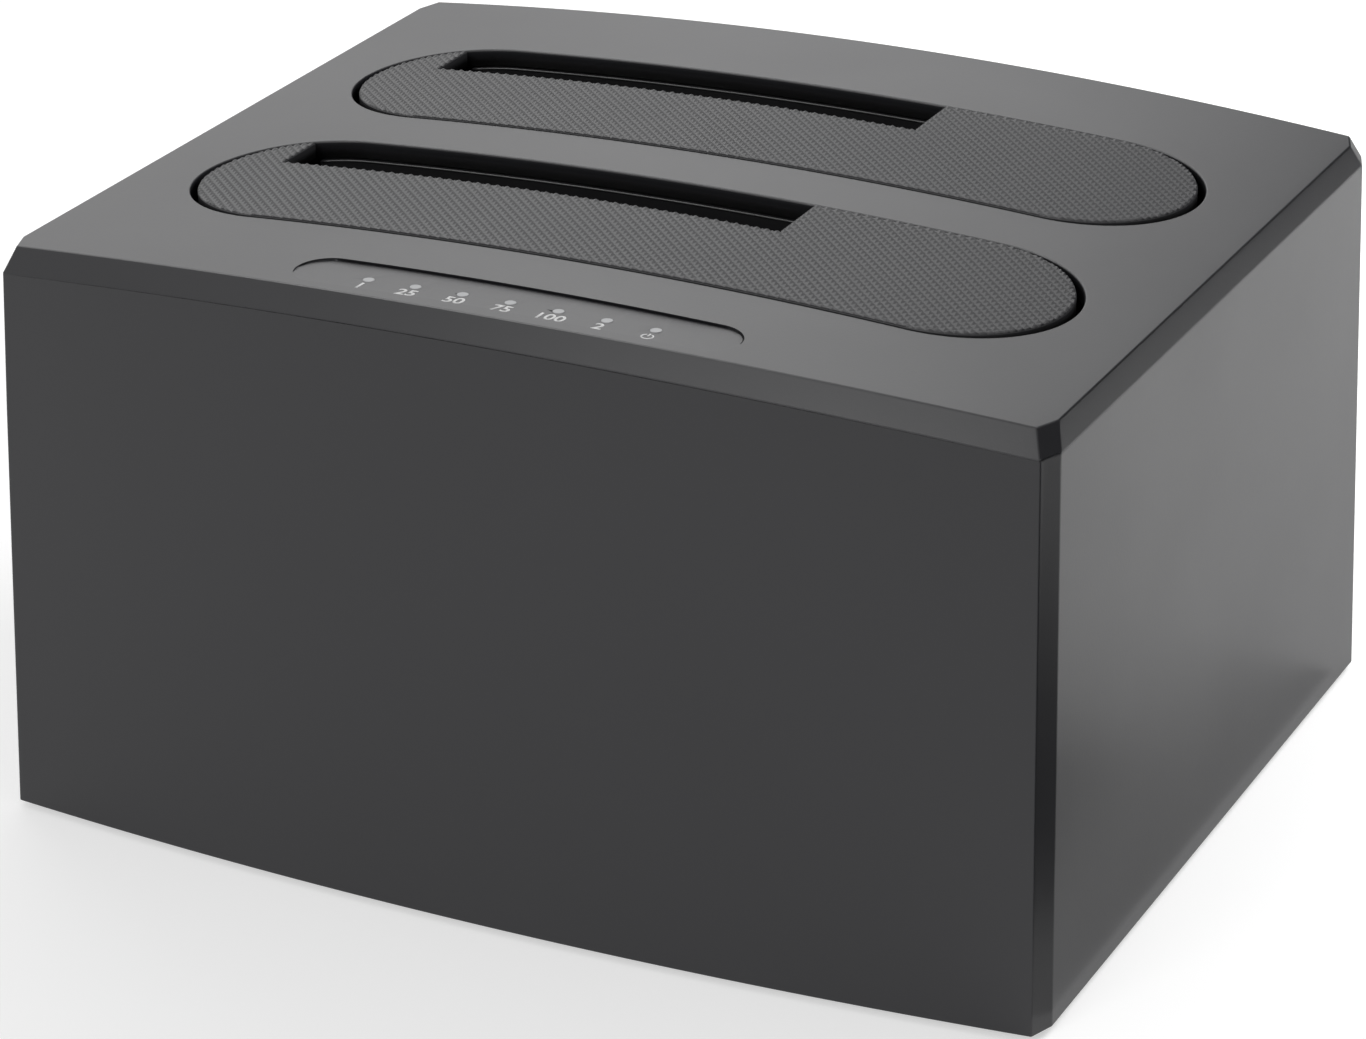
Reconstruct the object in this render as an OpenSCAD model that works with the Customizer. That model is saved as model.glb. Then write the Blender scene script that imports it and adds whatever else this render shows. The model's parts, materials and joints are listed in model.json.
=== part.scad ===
// Two-bay drive docking station: a moulded case with two oval spring lids over its drive wells.
// X runs to the right, Y to the back and Z up, from the middle of the footprint on the floor.

/* [Case] */
// Distance from the ends of the openings to the sides at the base
side_land = 12.5; // [11.5:0.5:20]
// Distance from the middle of the front at the base to the front opening
front_land = 25.4; // [24:0.1:35]
// Distance from the rear opening to the rear at the base
rear_land = 24.6; // [23.5:0.1:35]
// Height of the top's side edges above the base edge
case_h = 78.75; // [76:0.25:90]
// Rise of the top from its side edges to its middle
top_crown = 3.9; // [3:0.1:5]
// Bow of the front from its corners to its middle
front_bow = 4.3; // [3:0.1:6]
// Lean of each side wall over its height
side_draft = 1.8; // [1:0.1:2.2]
// Lean of the front wall over its height
front_draft = 2.3; // [1.5:0.1:2.8]
// Lean of the rear wall over its height
rear_draft = 2.4; // [1.5:0.1:3]
// Thickness of the walls
wall = 2.2; // [1.8:0.1:2.6]
// Thickness of the top
top_wall = 2.4; // [2:0.1:2.6]
// Chamfer of the front and rear top edges, measured inwards
end_chamfer_in = 1.8; // [1:0.1:2.2]
// Chamfer of the front and rear top edges, measured down
end_chamfer_down = 3.2; // [2:0.1:4]
// Chamfer of the side top edges, measured inwards
side_chamfer_in = 1.1; // [0.6:0.1:1.6]
// Chamfer of the side top edges, measured down
side_chamfer_down = 3.2; // [2:0.1:4]
// Chamfer of the upright corners, measured along the front
corner_along_front = 1.3; // [0.8:0.1:2]
// Chamfer of the upright corners, measured along the side
corner_along_side = 3.4; // [2:0.1:4]

/* [Bays] */
// Space between the two wells
well_space = 0.9; // [0.6:0.1:5]
// Length of an oval opening
opening_len = 125; // [122:0.5:127]
// Width of an oval opening
opening_w = 32.2; // [31.6:0.1:32.6]
// Left end of the thin drive's slot
slot_left = -53.5; // [-54.5:0.5:-53]
// Length of the thin drive's slot
slot_len = 73.3; // [71:0.1:75]
// Width of the thin drive's slot
slot_w = 11.2; // [10:0.1:12]
// Thickness of the well walls
well_wall = 1.6; // [1.4:0.1:2]
// Ledge of the well that shows inside the rear rim
ledge = 0.7; // [0.4:0.1:0.9]
// Thickness of the well floor
floor_t = 2; // [1.5:0.1:2.5]
// Width of a wide drive
wide_drive_w = 101.6; // [101.6:0.1:102]
// Thickness of a wide drive
wide_drive_t = 26.1; // [25.4:0.1:26.1]
// Clearance beside a drive
drive_clear = 0.5; // [0.3:0.1:0.6]

/* [Lids] */
// Gap between a lid and the front of its opening
lid_front_gap = 0.5; // [0.4:0.05:1.5]
// Gap between a lid and the rear of its opening
lid_rear_gap = 0.8; // [0.8:0.05:1.5]
// Gap between a lid and the ends of its opening
lid_end_gap = 1.25; // [1:0.05:1.8]
// Thickness of a lid
lid_t = 2.4; // [2:0.1:2.6]
// Height of a lid above the top of the case
lid_proud = 0.35; // [0:0.05:0.4]
// Hinge line in front of the opening
hinge_ahead = 3.6; // [3.4:0.1:3.8]
// Hinge line below the middle of the top
hinge_drop = 5.4; // [5.4:0.05:6.4]
// Radius of the hinge pin
pin_r = 1.25; // [1:0.05:1.3]
// Radius of a lid knuckle
knuckle_r = 1.7; // [1.6:0.05:1.9]
// Width of a lid knuckle
knuckle_w = 5; // [4:0.5:6]
// Distance of a knuckle from the middle
knuckle_x = 30; // [24:1:32]
// Radius of a fixed hinge lug
lug_r = 1.9; // [1.7:0.05:2]
// Width of a fixed hinge lug
lug_w = 2.8; // [2:0.1:3.5]
// Diameter of the spring wire
wire_d = 0.7; // [0.5:0.05:0.8]
// Pitch of the spring's curls
curl_pitch = 1.3; // [1.25:0.05:1.6]
// Number of the spring's curls
curls = 8; // [5:1:10]

/* [Indicators] */
// Number of lights
light_count = 7; // [3:1:7]
// Distance between lights
light_pitch = 6.65; // [5.5:0.05:7]
// Middle of the row of lights
light_mid_x = 0.4; // [-2:0.05:2]
// Distance of the lights behind the middle of the front
light_back = 9.75; // [8.6:0.05:10.2]
// Diameter of a light
light_d = 1.7; // [1.2:0.1:2]
// Length of the pocket round the lights
pocket_len = 61.7; // [56:0.1:66]
// Width of the pocket
pocket_w = 8.6; // [8:0.1:9]
// Depth of the pocket at its rear, from which its floor rises to the front
pocket_depth = 0.5; // [0.3:0.1:0.8]
// Place of the pocket behind the middle of the front
pocket_back = 10.8; // [9.6:0.1:11.2]

/* [Base] */
// Height of the base edge above the floor
foot_rise = 1; // [0.6:0.1:2]
// Thickness of the base plate
base_t = 2.2; // [2:0.1:3]
// Radius of a foot
foot_r = 5; // [4:0.5:6]
// Depth of a foot's seat in the base plate
foot_seat = 0.6; // [0.4:0.1:0.8]
// Height of the board posts above the base plate
standoff_h = 5.3; // [4.5:0.1:7]
// Thickness of the circuit board
board_t = 1.6; // [1.2:0.1:2]

/* [Connectors] */
// Length of a drive socket
sata_len = 46; // [44:0.5:48]
// Width of a drive socket
sata_w = 7.6; // [7:0.1:8]
// Height of a drive socket
sata_h = 10.4; // [10:0.1:12]
// Distance of a drive socket's middle from the opening's rear edge
sata_from_rear = 6.4; // [6:0.1:7]
// Depth of the recess round the rear connectors
io_depth = 1; // [0.6:0.1:1.2]
// Height of the rear connectors' line above the board
io_above_board = 6.4; // [6:0.1:6.6]
// Travel of the power button
power_travel = 1.2; // [0.8:0.1:2]
// Travel of the copy button
copy_travel = 0.8; // [0.5:0.1:1.2]

/* [Hidden] */

$fn = 64;
// Facets of the very large rounds
large_fn = 720;
// Overshoot of cuts
over = 1;
// Gap of a turning or sliding fit
fit = 0.05;
// Gap beside fixed pieces
gap = 0.3;
// Gap beside moving pieces
play = 0.4;
black = "#2a2a2c";
dark = "#1c1c1e";
steel = "#b9bcc0";
board_green = "#1d5a38";

// Case outline
half_w = opening_len / 2 + side_land;
spring_r = pin_r + wire_d + 0.15;
hinge_y = -opening_w / 2 - hinge_ahead;
well_front_y = hinge_y - spring_r - wire_d - play;
well_rear_y = opening_w / 2;
bay_pitch = well_rear_y - well_front_y + 2 * well_wall + well_space;
rear_y = (front_land + opening_w + bay_pitch + rear_land) / 2;
front_y = -rear_y;
corner_y = front_y + front_bow;
base_z = foot_rise;
side_top_z = base_z + case_h;
top_mid_z = side_top_z + top_crown;
reach = 8 * half_w;
crown_r = round_through(half_w, top_crown);
crown_axis_z = top_mid_z - crown_r;
bow_r = round_through(half_w, front_bow);
side_edge_x = half_w - side_draft - side_chamfer_in;
side_edge_z = top_z(side_edge_x);
side_chamfer_z = side_edge_z - side_chamfer_down;

// Bays
bay_ys = [front_y + front_land + opening_w / 2, rear_y - rear_land - opening_w / 2];
slot_right = slot_left + slot_len;
slot_front_y = opening_w / 2 - slot_w;
hinge_z = top_mid_z - hinge_drop;
lid_rear_y = opening_w / 2 - lid_rear_gap;
lid_front_y = lid_front_gap - opening_w / 2;
sweep_r = norm([lid_rear_y - hinge_y, hinge_drop + lid_proud]);
rim_drop = top_wall + 0.2;
well_half = opening_len / 2 + 1.1;
drive_rear_y = well_rear_y - 2.2;
drive_left = slot_left + 0.8;
drive_right = drive_left + wide_drive_w + 2 * drive_clear;
drive_front_y = drive_rear_y - wide_drive_t - 2 * drive_clear;
rib_t = 2;
side_rib_ys = [-6, 9];
front_rib_x = 32;
rear_rib_xs = [drive_left + 6, slot_right - 10];

// Heights inside
board_z = base_z + base_t + standoff_h;
board_top = board_z + board_t;
well_floor_z = board_top + sata_h;
guide_top_z = hinge_z - sweep_r - 1.5;
io_z = board_top + io_above_board;
rear_inner_y = back_y(io_z, wall);
io_floor_y = back_y(io_z, io_depth);

// Fasteners
screw_r = 1.2;
pilot_r = screw_r + fit;
head_r = 2.5;
head_h = 1.2;
post_r = 3.5;
post_x = half_w - side_draft - wall - post_r - 0.5;
post_ys = [corner_y + front_draft + wall + post_r + 0.9, rear_y - rear_draft - wall - post_r - 0.9];
case_screw_len = 10;
boss_r = 2.3;
boss_x = well_half + well_wall + boss_r + 0.7;
tab_drop = 18;
tab_z = hinge_z - tab_drop;
tab_t = 2;
well_screw_len = 8;
led_boss_x = (light_count * light_pitch + 14) / 2;
led_boss_r = 2.4;
led_screw_len = 6;

// Main board
board_front_y = corner_y + front_draft + wall + 1.5;
board_rear_y = rear_inner_y - 4;
board_half = post_x - post_r - 3;
standoff_r = 3;
standoff_x = board_half - 6;
standoff_ys = [board_front_y + 6, board_rear_y - 6];
board_screw_len = 5;
foot_in = 20;
foot_back = 16;
foot_x = half_w - foot_in;
foot_ys = [corner_y + foot_back, rear_y - foot_back];

// Drive sockets
sata_x = drive_left + 3 + sata_len / 2;
sata_y = well_rear_y - sata_from_rear;
sata_depth = 7;
sata_slot_w = 2.6;
contact_pitch = 1.27;
contact_counts = [7, 15];
contact_margin = 1.6;
slot_lens = [for (n = contact_counts) (n - 1) * contact_pitch + 2 * contact_margin];
slot_wall = 1.4;
slot_starts = [-(slot_lens[0] + slot_lens[1] + slot_wall) / 2, (slot_lens[0] - slot_lens[1] + slot_wall) / 2];

// Components on the board
bridge_place = [20, 0];
bridge_size = [10, 10, 1];
copy_chip_place = [38, -12];
copy_chip_size = [7, 7, 0.9];
crystal_place = [32, 3];
crystal_size = [5, 3.2, 1.2];
inductor_pitch = 16;
inductor_size = [9, 9, 4.5];
capacitor_r = 4;
capacitor_h = 11.5;
capacitor_pitch = 10;
vent_count = 9;
vent_pitch = 6;
vent_w = 2.4;
vent_len = 28;
vent_y = 22;

// Rear connectors
usb_w = 12.2;
usb_h = 12.7;
usb_len = 17;
usb_depth = 13;
usb_front_y = io_floor_y + 0.2 - usb_len;
usb_outline = [[-4.25, 1.3], [4.25, 1.3], [4.25, 7.3], [2.85, 8.9], [2.85, 11.4], [-2.85, 11.4], [-2.85, 8.9],
    [-4.25, 7.3]];
usb_back_t = 1.5;
tongue_w = 5.6;
tongue_zs = [3.4, 6];
upper_tongue_w = 4;
upper_tongue_zs = [9.7, 10.7];
strip_t = 0.2;
dc_w = 9;
dc_h = 11;
dc_len = 14;
dc_bore_r = 3.2;
dc_depth = 10;
dc_pin_r = 1.05;
dc_front_y = io_floor_y + 0.2 - dc_len;
power_cap = [8, 5];
copy_cap_r = 2.6;
cap_out = io_depth - 0.15;
flange_t = 1.3;
flange_rim = 0.9;
stem_r = 1.5;
stem_hold = 5;
switch_len = 11;
switch_w = 8;
post_space = 2;
dc_x = standoff_x - standoff_r - post_space - dc_w / 2;
socket_pitch = 21;
usb_x = dc_x - socket_pitch;
power_x = -standoff_x + standoff_r + post_space + 7.5;
button_pitch = 24;
copy_x = power_x + button_pitch;
io_margin = 11;
io_left = power_x - io_margin;
io_right = dc_x + io_margin;
io_below = 8.2;
io_above = 8.4;
io_low = io_z - io_below;
io_high = io_z + io_above;
capacitor_x = (usb_x - usb_w / 2 + copy_x + switch_w / 2 - capacitor_pitch) / 2;
capacitor_y = board_rear_y - capacitor_r - post_space;
inductor_x = dc_x + post_space;
inductor_y = dc_front_y - 2 * inductor_pitch;

// Lights
light_y = front_y + light_back;
pocket_y = front_y + pocket_back;
pocket_front_y = pocket_y - pocket_w / 2;
light_depth = pocket_depth * (light_y - pocket_front_y) / pocket_w;
led_board_t = 1.2;
led_board_z = hinge_z - 6;
led_board_top = led_board_z + led_board_t;
led_board_len = 2 * led_boss_x + 6;
led_board_w = 8.6;
led_board_y = light_y + 0.9;
led_size = [2, 1.4, 0.8];
guide_bar_w = 3;
guide_bar_t = 1.4;
guide_end = 2;
plug_size = [12, 3.6, 5];
ribbon_w = 9;
ribbon_t = 0.7;
ribbon_top_y = led_board_y + 2;
ribbon_low_y = ribbon_top_y + 1;

function round_through(half_chord, rise) = (half_chord * half_chord + rise * rise) / (2 * rise);
function top_z(x) = crown_axis_z + sqrt(crown_r * crown_r - x * x);
function side_x(z, inset) = half_w - inset - side_draft * (z - base_z) / case_h;
function back_y(z, inset) = rear_y - inset - rear_draft * (z - base_z) / case_h;
function fore_y(z) = front_y + front_draft * (z - base_z) / case_h;
function light_x(i) = light_mid_x + (i - (light_count - 1) / 2) * light_pitch;

// Everything under the crowned top, or under a copy of it lowered by drop
module under_crown(drop) {
    translate([0, 0, crown_axis_z])
        rotate([90, 0, 0])
            cylinder(r = crown_r - drop, h = reach, center = true, $fn = large_fn);
}

// Everything behind the bowed and leaning front
module behind_front(inset) {
    translate([0, front_y + inset, base_z])
        rotate([-atan(front_draft / case_h), 0, 0])
            translate([0, bow_r, 0])
                cylinder(r = bow_r, h = reach, center = true, $fn = large_fn);
}

// Everything between the leaning sides
module between_sides(inset, low_z) {
    high_z = top_mid_z + over;
    rotate([90, 0, 0])
        linear_extrude(reach, center = true)
            polygon([[-side_x(low_z, inset), low_z], [side_x(low_z, inset), low_z],
                [side_x(high_z, inset), high_z], [-side_x(high_z, inset), high_z]]);
}

// Everything between the sides and their top chamfers
module between_chamfers() {
    low_x = side_x(side_chamfer_z, 0);
    high_z = top_mid_z + over;
    high_x = low_x - (low_x - side_edge_x) * (high_z - side_chamfer_z) / side_chamfer_down;
    rotate([90, 0, 0])
        linear_extrude(reach, center = true)
            polygon([[-half_w, base_z], [half_w, base_z], [low_x, side_chamfer_z], [high_x, high_z],
                [-high_x, high_z], [-low_x, side_chamfer_z]]);
}

// Everything in front of the leaning rear
module before_rear(inset, low_z) {
    high_z = top_mid_z + over;
    rotate([90, 0, 90])
        linear_extrude(reach, center = true)
            polygon([[-reach / 2, low_z], [back_y(low_z, inset), low_z],
                [back_y(high_z, inset), high_z], [-reach / 2, high_z]]);
}

// A chamfer that follows the crown along the front or rear top edge: a large leaning cylinder
module below_end_chamfer(edge_y, draft, bow, toward) {
    angle = atan(end_chamfer_in / end_chamfer_down + draft / case_h);
    rise = (bow - draft * top_crown / case_h) * cos(angle) + top_crown * sin(angle);
    r = round_through(half_w, rise);
    translate([0, edge_y, top_mid_z])
        rotate([toward * angle, 0, 0])
            translate([0, -toward * r, 0])
                cylinder(r = r, h = reach, center = true, $fn = 2 * large_fn);
}

// What a leaning chamfer takes off the upright corner on the right of the front
module corner_cut(line_y, draft) {
    len = norm([corner_along_front, corner_along_side]);
    lean = (side_draft * corner_along_side + draft * corner_along_front) / len;
    translate([half_w - corner_along_front, line_y, base_z])
        rotate([0, 0, atan2(corner_along_side, corner_along_front)])
            rotate([-atan(lean / case_h), 0, 0])
                translate([-5 * len, -5 * len, -case_h])
                    cube([10 * len, 5 * len, 3 * case_h]);
}

module case_form() {
    difference() {
        intersection() {
            between_chamfers();
            under_crown(0);
            behind_front(0);
            before_rear(0, base_z);
            below_end_chamfer(fore_y(top_mid_z) + end_chamfer_in, front_draft, front_bow, -1);
            below_end_chamfer(back_y(top_mid_z, 0) - end_chamfer_in, rear_draft, 0, 1);
        }
        for (side = [0, 1]) {
            mirror([side, 0, 0]) {
                corner_cut(corner_y, front_draft);
                mirror([0, 1, 0])
                    corner_cut(-rear_y, rear_draft);
            }
        }
    }
}

module case_inside(inset, drop, low_z) {
    intersection() {
        between_sides(inset, low_z);
        under_crown(drop);
        behind_front(inset);
        before_rear(inset, low_z);
    }
}

module oval(len, w, low_z, high_z) {
    translate([0, 0, low_z])
        linear_extrude(high_z - low_z) {
            square([len - w, w], center = true);
            for (side = [-1, 1])
                translate([side * (len - w) / 2, 0])
                    circle(d = w);
        }
}

module box(x, y, z) {
    translate([x[0], y[0], z[0]])
        cube([x[1] - x[0], y[1] - y[0], z[1] - z[0]]);
}

// A round bar along X
module bar(x, r) {
    translate([x[0], 0, 0])
        rotate([0, 90, 0])
            cylinder(r = r, h = x[1] - x[0]);
}

// A round bar along Y
module rod(y, r) {
    translate([0, y[1], 0])
        rotate([90, 0, 0])
            cylinder(r = r, h = y[1] - y[0]);
}

// A cross-head screw that points up from the underside of its head
module screw(len) {
    difference() {
        union() {
            translate([0, 0, -head_h])
                cylinder(r = head_r, h = head_h);
            cylinder(r = screw_r, h = len);
        }
        for (turn = [0, 90])
            rotate([0, 0, turn])
                box([-1.5, 1.5], [-0.35, 0.35], [-head_h - over, -head_h / 3]);
    }
}

module at_posts() {
    for (x = [-post_x, post_x], y = post_ys)
        translate([x, y, base_z])
            children();
}

module at_tabs() {
    for (side = [0, 1])
        mirror([side, 0, 0])
            translate([boss_x, 0, 0])
                children();
}

module at_led_bosses() {
    for (side = [-1, 1])
        translate([light_mid_x + side * led_boss_x, led_board_y, 0])
            children();
}

module at_standoffs() {
    for (x = [-standoff_x, standoff_x], y = standoff_ys)
        translate([x, y, 0])
            children();
}

// Everything under the pocket's floor, which follows the crown and rises to the front
module below_pocket() {
    translate([0, pocket_front_y, top_mid_z])
        rotate([-atan(pocket_depth / pocket_w), 0, 0])
            translate([0, -pocket_front_y, -top_mid_z])
                under_crown(0);
}

module rear_cuts() {
    difference() {
        box([io_left, io_right], [rear_y - 3 * wall, rear_y + over], [io_low, io_high]);
        before_rear(io_depth, base_z - over);
    }
    through = [rear_inner_y - 2, rear_y + over];
    box([usb_x - usb_w / 2 - gap, usb_x + usb_w / 2 + gap], through, [board_top - gap, board_top + usb_h + gap]);
    box([dc_x - dc_w / 2 - gap, dc_x + dc_w / 2 + gap], through, [board_top - gap, board_top + dc_h + gap]);
    box([power_x - power_cap[0] / 2 - play, power_x + power_cap[0] / 2 + play], through,
        [io_z - power_cap[1] / 2 - play, io_z + power_cap[1] / 2 + play]);
    translate([copy_x, 0, io_z])
        rod(through, copy_cap_r + play);
}

module upper_housing() {
    color(black)
        difference() {
            union() {
                difference() {
                    case_form();
                    case_inside(wall, top_wall, base_z - over);
                }
                for (y = bay_ys)
                    translate([0, y, tab_z])
                        at_tabs()
                            cylinder(r = boss_r, h = top_z(boss_x) - top_wall / 2 - tab_z);
                at_posts()
                    translate([0, 0, base_t])
                        cylinder(r = post_r, h = top_z(post_x) - top_wall / 2 - base_z - base_t);
                at_led_bosses()
                    translate([0, 0, led_board_top])
                        cylinder(r = led_boss_r, h = top_z(led_boss_x) - top_wall / 2 - led_board_top);
            }
            for (y = bay_ys)
                translate([0, y, 0]) {
                    oval(opening_len, opening_w, hinge_z, top_mid_z + over);
                    at_tabs()
                        translate([0, 0, tab_z - over])
                            cylinder(r = pilot_r, h = well_screw_len + over);
                }
            difference() {
                translate([light_mid_x, pocket_y, 0])
                    oval(pocket_len, pocket_w, top_mid_z - 2 * top_wall, top_mid_z + over);
                below_pocket();
            }
            for (i = [0 : light_count - 1])
                translate([light_x(i), light_y, led_board_top])
                    cylinder(d = light_d + 2 * fit, h = top_mid_z - led_board_top);
            rear_cuts();
            at_posts()
                cylinder(r = pilot_r, h = case_screw_len + over);
            at_led_bosses()
                translate([0, 0, led_board_top - over])
                    cylinder(r = pilot_r, h = led_screw_len);
        }
}

module base_plate() {
    color(black)
        difference() {
            union() {
                intersection() {
                    case_inside(wall + gap, top_wall, base_z);
                    box([-half_w, half_w], [front_y, rear_y], [base_z, base_z + base_t]);
                }
                at_standoffs()
                    translate([0, 0, base_z + base_t / 2])
                        cylinder(r = standoff_r, h = board_z - base_z - base_t / 2);
            }
            at_posts()
                union() {
                    translate([0, 0, -over])
                        cylinder(r = screw_r + gap, h = base_t + 2 * over);
                    translate([0, 0, -over])
                        cylinder(r = head_r + gap, h = head_h + over);
                }
            at_standoffs()
                translate([0, 0, base_z + base_t])
                    cylinder(r = pilot_r, h = standoff_h + over);
            for (x = [-foot_x, foot_x], y = foot_ys)
                translate([x, y, 0])
                    cylinder(r = foot_r + fit, h = base_z + foot_seat);
            for (i = [0 : vent_count - 1], y = [-vent_y, vent_y])
                translate([(i - (vent_count - 1) / 2) * vent_pitch, y, 0])
                    box([-vent_w / 2, vent_w / 2], [-vent_len / 2, vent_len / 2], [0, base_z + base_t + over]);
        }
}

module rubber_feet() {
    color(dark)
        for (x = [-foot_x, foot_x], y = foot_ys)
            translate([x, y, 0])
                cylinder(r = foot_r, h = base_z + foot_seat);
}

module case_screws() {
    color(steel)
        at_posts()
            translate([0, 0, head_h])
                screw(case_screw_len - head_h);
}

// One drive well about the middle of its opening
module drive_well() {
    low_z = well_floor_z - floor_t;
    outer_x = well_half + well_wall;
    color(dark)
        difference() {
            union() {
                intersection() {
                    under_crown(rim_drop);
                    difference() {
                        box([-outer_x, outer_x], [well_front_y - well_wall, well_rear_y + well_wall],
                            [low_z, top_mid_z]);
                        box([-well_half, well_half], [well_front_y, well_rear_y], [well_floor_z, top_mid_z + over]);
                    }
                }
                well_ledge();
                well_ribs();
                for (side = [-1, 1], place = [-1, 1])
                    translate([side * knuckle_x + place * (knuckle_w / 2 + play + lug_w / 2), 0, 0])
                        hinge_lug();
                at_tabs()
                    well_tab();
            }
            box([sata_x - sata_len / 2 - play, sata_x + sata_len / 2 + play],
                [sata_y - sata_w / 2 - play, sata_y + sata_w / 2 + play], [low_z - over, well_floor_z + over]);
            translate([0, hinge_y, hinge_z])
                bar([-outer_x - over, outer_x + over], pin_r + fit / 2);
            at_tabs()
                translate([0, 0, tab_z - tab_t - over])
                    cylinder(r = screw_r + gap, h = tab_t + 2 * over);
        }
}

// The ledge that follows the oval along the slot
module well_ledge() {
    intersection() {
        under_crown(rim_drop);
        difference() {
            box([slot_left + play, slot_right - play], [well_rear_y / 2, well_rear_y + well_wall / 2],
                [hinge_z - 8, top_mid_z]);
            oval(opening_len - 2 * ledge, opening_w - 2 * ledge, hinge_z - 9, top_mid_z + over);
        }
    }
}

// Ribs that guide a drive on to its socket
module well_ribs() {
    tall = [well_floor_z - floor_t / 2, guide_top_z];
    embed = well_wall / 2;
    for (y = side_rib_ys)
        translate([0, y, 0]) {
            box([-well_half - embed, drive_left], [-rib_t / 2, rib_t / 2], tall);
            box([drive_right, well_half + embed], [-rib_t / 2, rib_t / 2], tall);
        }
    for (x = [-front_rib_x, front_rib_x])
        box([x - rib_t / 2, x + rib_t / 2], [well_front_y - embed, drive_front_y], tall);
    for (x = rear_rib_xs)
        box([x - rib_t / 2, x + rib_t / 2], [drive_rear_y, well_rear_y + embed], tall);
}

// A lug on the front wall that holds the hinge pin
module hinge_lug() {
    translate([0, hinge_y, hinge_z])
        bar([-lug_w / 2, lug_w / 2], lug_r);
    box([-lug_w / 2, lug_w / 2], [well_front_y - well_wall / 2, hinge_y], [hinge_z - 5, hinge_z + lug_r * 0.7]);
}

// A tab at the end of a well that a screw holds to the case
module well_tab() {
    y = boss_r + 1;
    box([-boss_r - 1.5, 0.7 * boss_r], [-y, y], [tab_z - tab_t, tab_z]);
}

module front_drive_well() {
    translate([0, bay_ys[0], 0])
        drive_well();
}

module rear_drive_well() {
    translate([0, bay_ys[1], 0])
        drive_well();
}

module well_screws() {
    color(steel)
        for (y = bay_ys)
            translate([0, y, tab_z - tab_t])
                at_tabs()
                    screw(well_screw_len);
}

// One oval lid about the middle of its opening, with two knuckles and two stops under the top
module flap() {
    color(black)
        difference() {
            union() {
                difference() {
                    intersection() {
                        translate([0, (lid_front_y + lid_rear_y) / 2, 0])
                            oval(opening_len - 2 * lid_end_gap, lid_rear_y - lid_front_y, hinge_z - lid_t,
                                top_mid_z + 2);
                        under_crown(-lid_proud);
                    }
                    under_crown(lid_t - lid_proud);
                    box([slot_left, slot_right], [slot_front_y, opening_w], [hinge_z - 2 * lid_t, top_mid_z + 3]);
                }
                for (side = [-1, 1])
                    translate([side * knuckle_x, 0, 0])
                        knuckle();
                for (side = [0, 1])
                    mirror([side, 0, 0])
                        lid_stop();
            }
            translate([0, hinge_y, hinge_z])
                bar([-half_w, half_w], pin_r + fit);
        }
}

module knuckle() {
    seat_z = top_z(knuckle_x) + lid_proud - lid_t / 2;
    neck_z = hinge_z + 0.9 * knuckle_r;
    inner = 0.8 * knuckle_r;
    translate([0, hinge_y, hinge_z])
        bar([-knuckle_w / 2, knuckle_w / 2], knuckle_r);
    translate([-knuckle_w / 2, 0, 0])
        rotate([90, 0, 90])
            linear_extrude(knuckle_w)
                polygon([[hinge_y, hinge_z - inner], [lid_front_y + 4.5, seat_z], [lid_front_y + 0.5, seat_z],
                    [lid_front_y + 0.1, neck_z], [hinge_y, hinge_z + inner]]);
}

// A foot on the lid that stops against the underside of the top
module lid_stop() {
    stop_x = opening_len / 2 + 0.5;
    stop_z = top_z(stop_x) - top_wall - play;
    root_x = stop_x - 7.5;
    y = [-opening_w / 4 - 1, -opening_w / 4 + 3];
    box([root_x, stop_x], y, [stop_z - 1.4, stop_z]);
    box([root_x, root_x + 2], y, [stop_z - 1.4, top_z(root_x + 2) + lid_proud - lid_t / 2]);
}

module front_flap() {
    translate([0, bay_ys[0], 0])
        flap();
}

module rear_flap() {
    translate([0, bay_ys[1], 0])
        flap();
}

module hinge_pin(y) {
    end_x = knuckle_x + knuckle_w / 2 + play + lug_w + 1;
    color(steel)
        translate([0, y + hinge_y, hinge_z])
            bar([-end_x, end_x], pin_r);
}

module front_flap_pin() {
    hinge_pin(bay_ys[0]);
}

module rear_flap_pin() {
    hinge_pin(bay_ys[1]);
}

// Middle line of a torsion spring: a leg down the well, the curls, and a leg under the lid
curl_rings = 8;
well_leg = 9;
lid_leg = 11;
leg_bend = 4;
spring_start = -curls * curl_pitch / 2;
spring_path = concat(
    [[spring_start, -spring_r, -well_leg], [spring_start, -spring_r, -leg_bend]],
    [for (i = [0 : curls * curl_rings + curl_rings / 4])
        let (turn = -90 + i * 360 / curl_rings)
            [spring_start + i * curl_pitch / curl_rings, spring_r * sin(turn), spring_r * cos(turn)]],
    [[-spring_start + curl_pitch / 4, leg_bend, spring_r + 0.1],
        [-spring_start + curl_pitch / 4, lid_leg, hinge_drop + lid_proud - lid_t - wire_d / 2 - gap]]);
spring_gap = min([for (i = [2 : len(spring_path) - 3], j = [2 : len(spring_path) - 3])
    if (abs(i - j) > curl_rings / 2) norm(spring_path[i] - spring_path[j])]) - wire_d;
echo(spring_gap = spring_gap);

function unit(v) = v / norm(v);
function heading(path, i) = unit(path[min(i + 1, len(path) - 1)] - path[max(i - 1, 0)]);
function wire_ring(path, i) =
    let (along = heading(path, i), across = unit(cross(along, cross([1, 0, 0], along))), up = cross(along, across))
        [for (side = [0 : 5]) path[i] + wire_d / 2 * (across * cos(60 * side) + up * sin(60 * side))];

module wire(path) {
    last = len(path) - 1;
    sides = 6;
    points = [for (i = [0 : last]) each wire_ring(path, i)];
    skin = [for (i = [0 : last - 1], s = [0 : sides - 1])
        let (a = i * sides + s, b = i * sides + (s + 1) % sides)
            each [[a, b, a + sides], [b, b + sides, a + sides]]];
    caps = [for (s = [1 : sides - 2]) each [[0, s + 1, s], [last * sides, last * sides + s, last * sides + s + 1]]];
    polyhedron(points, concat(skin, caps));
}

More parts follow.
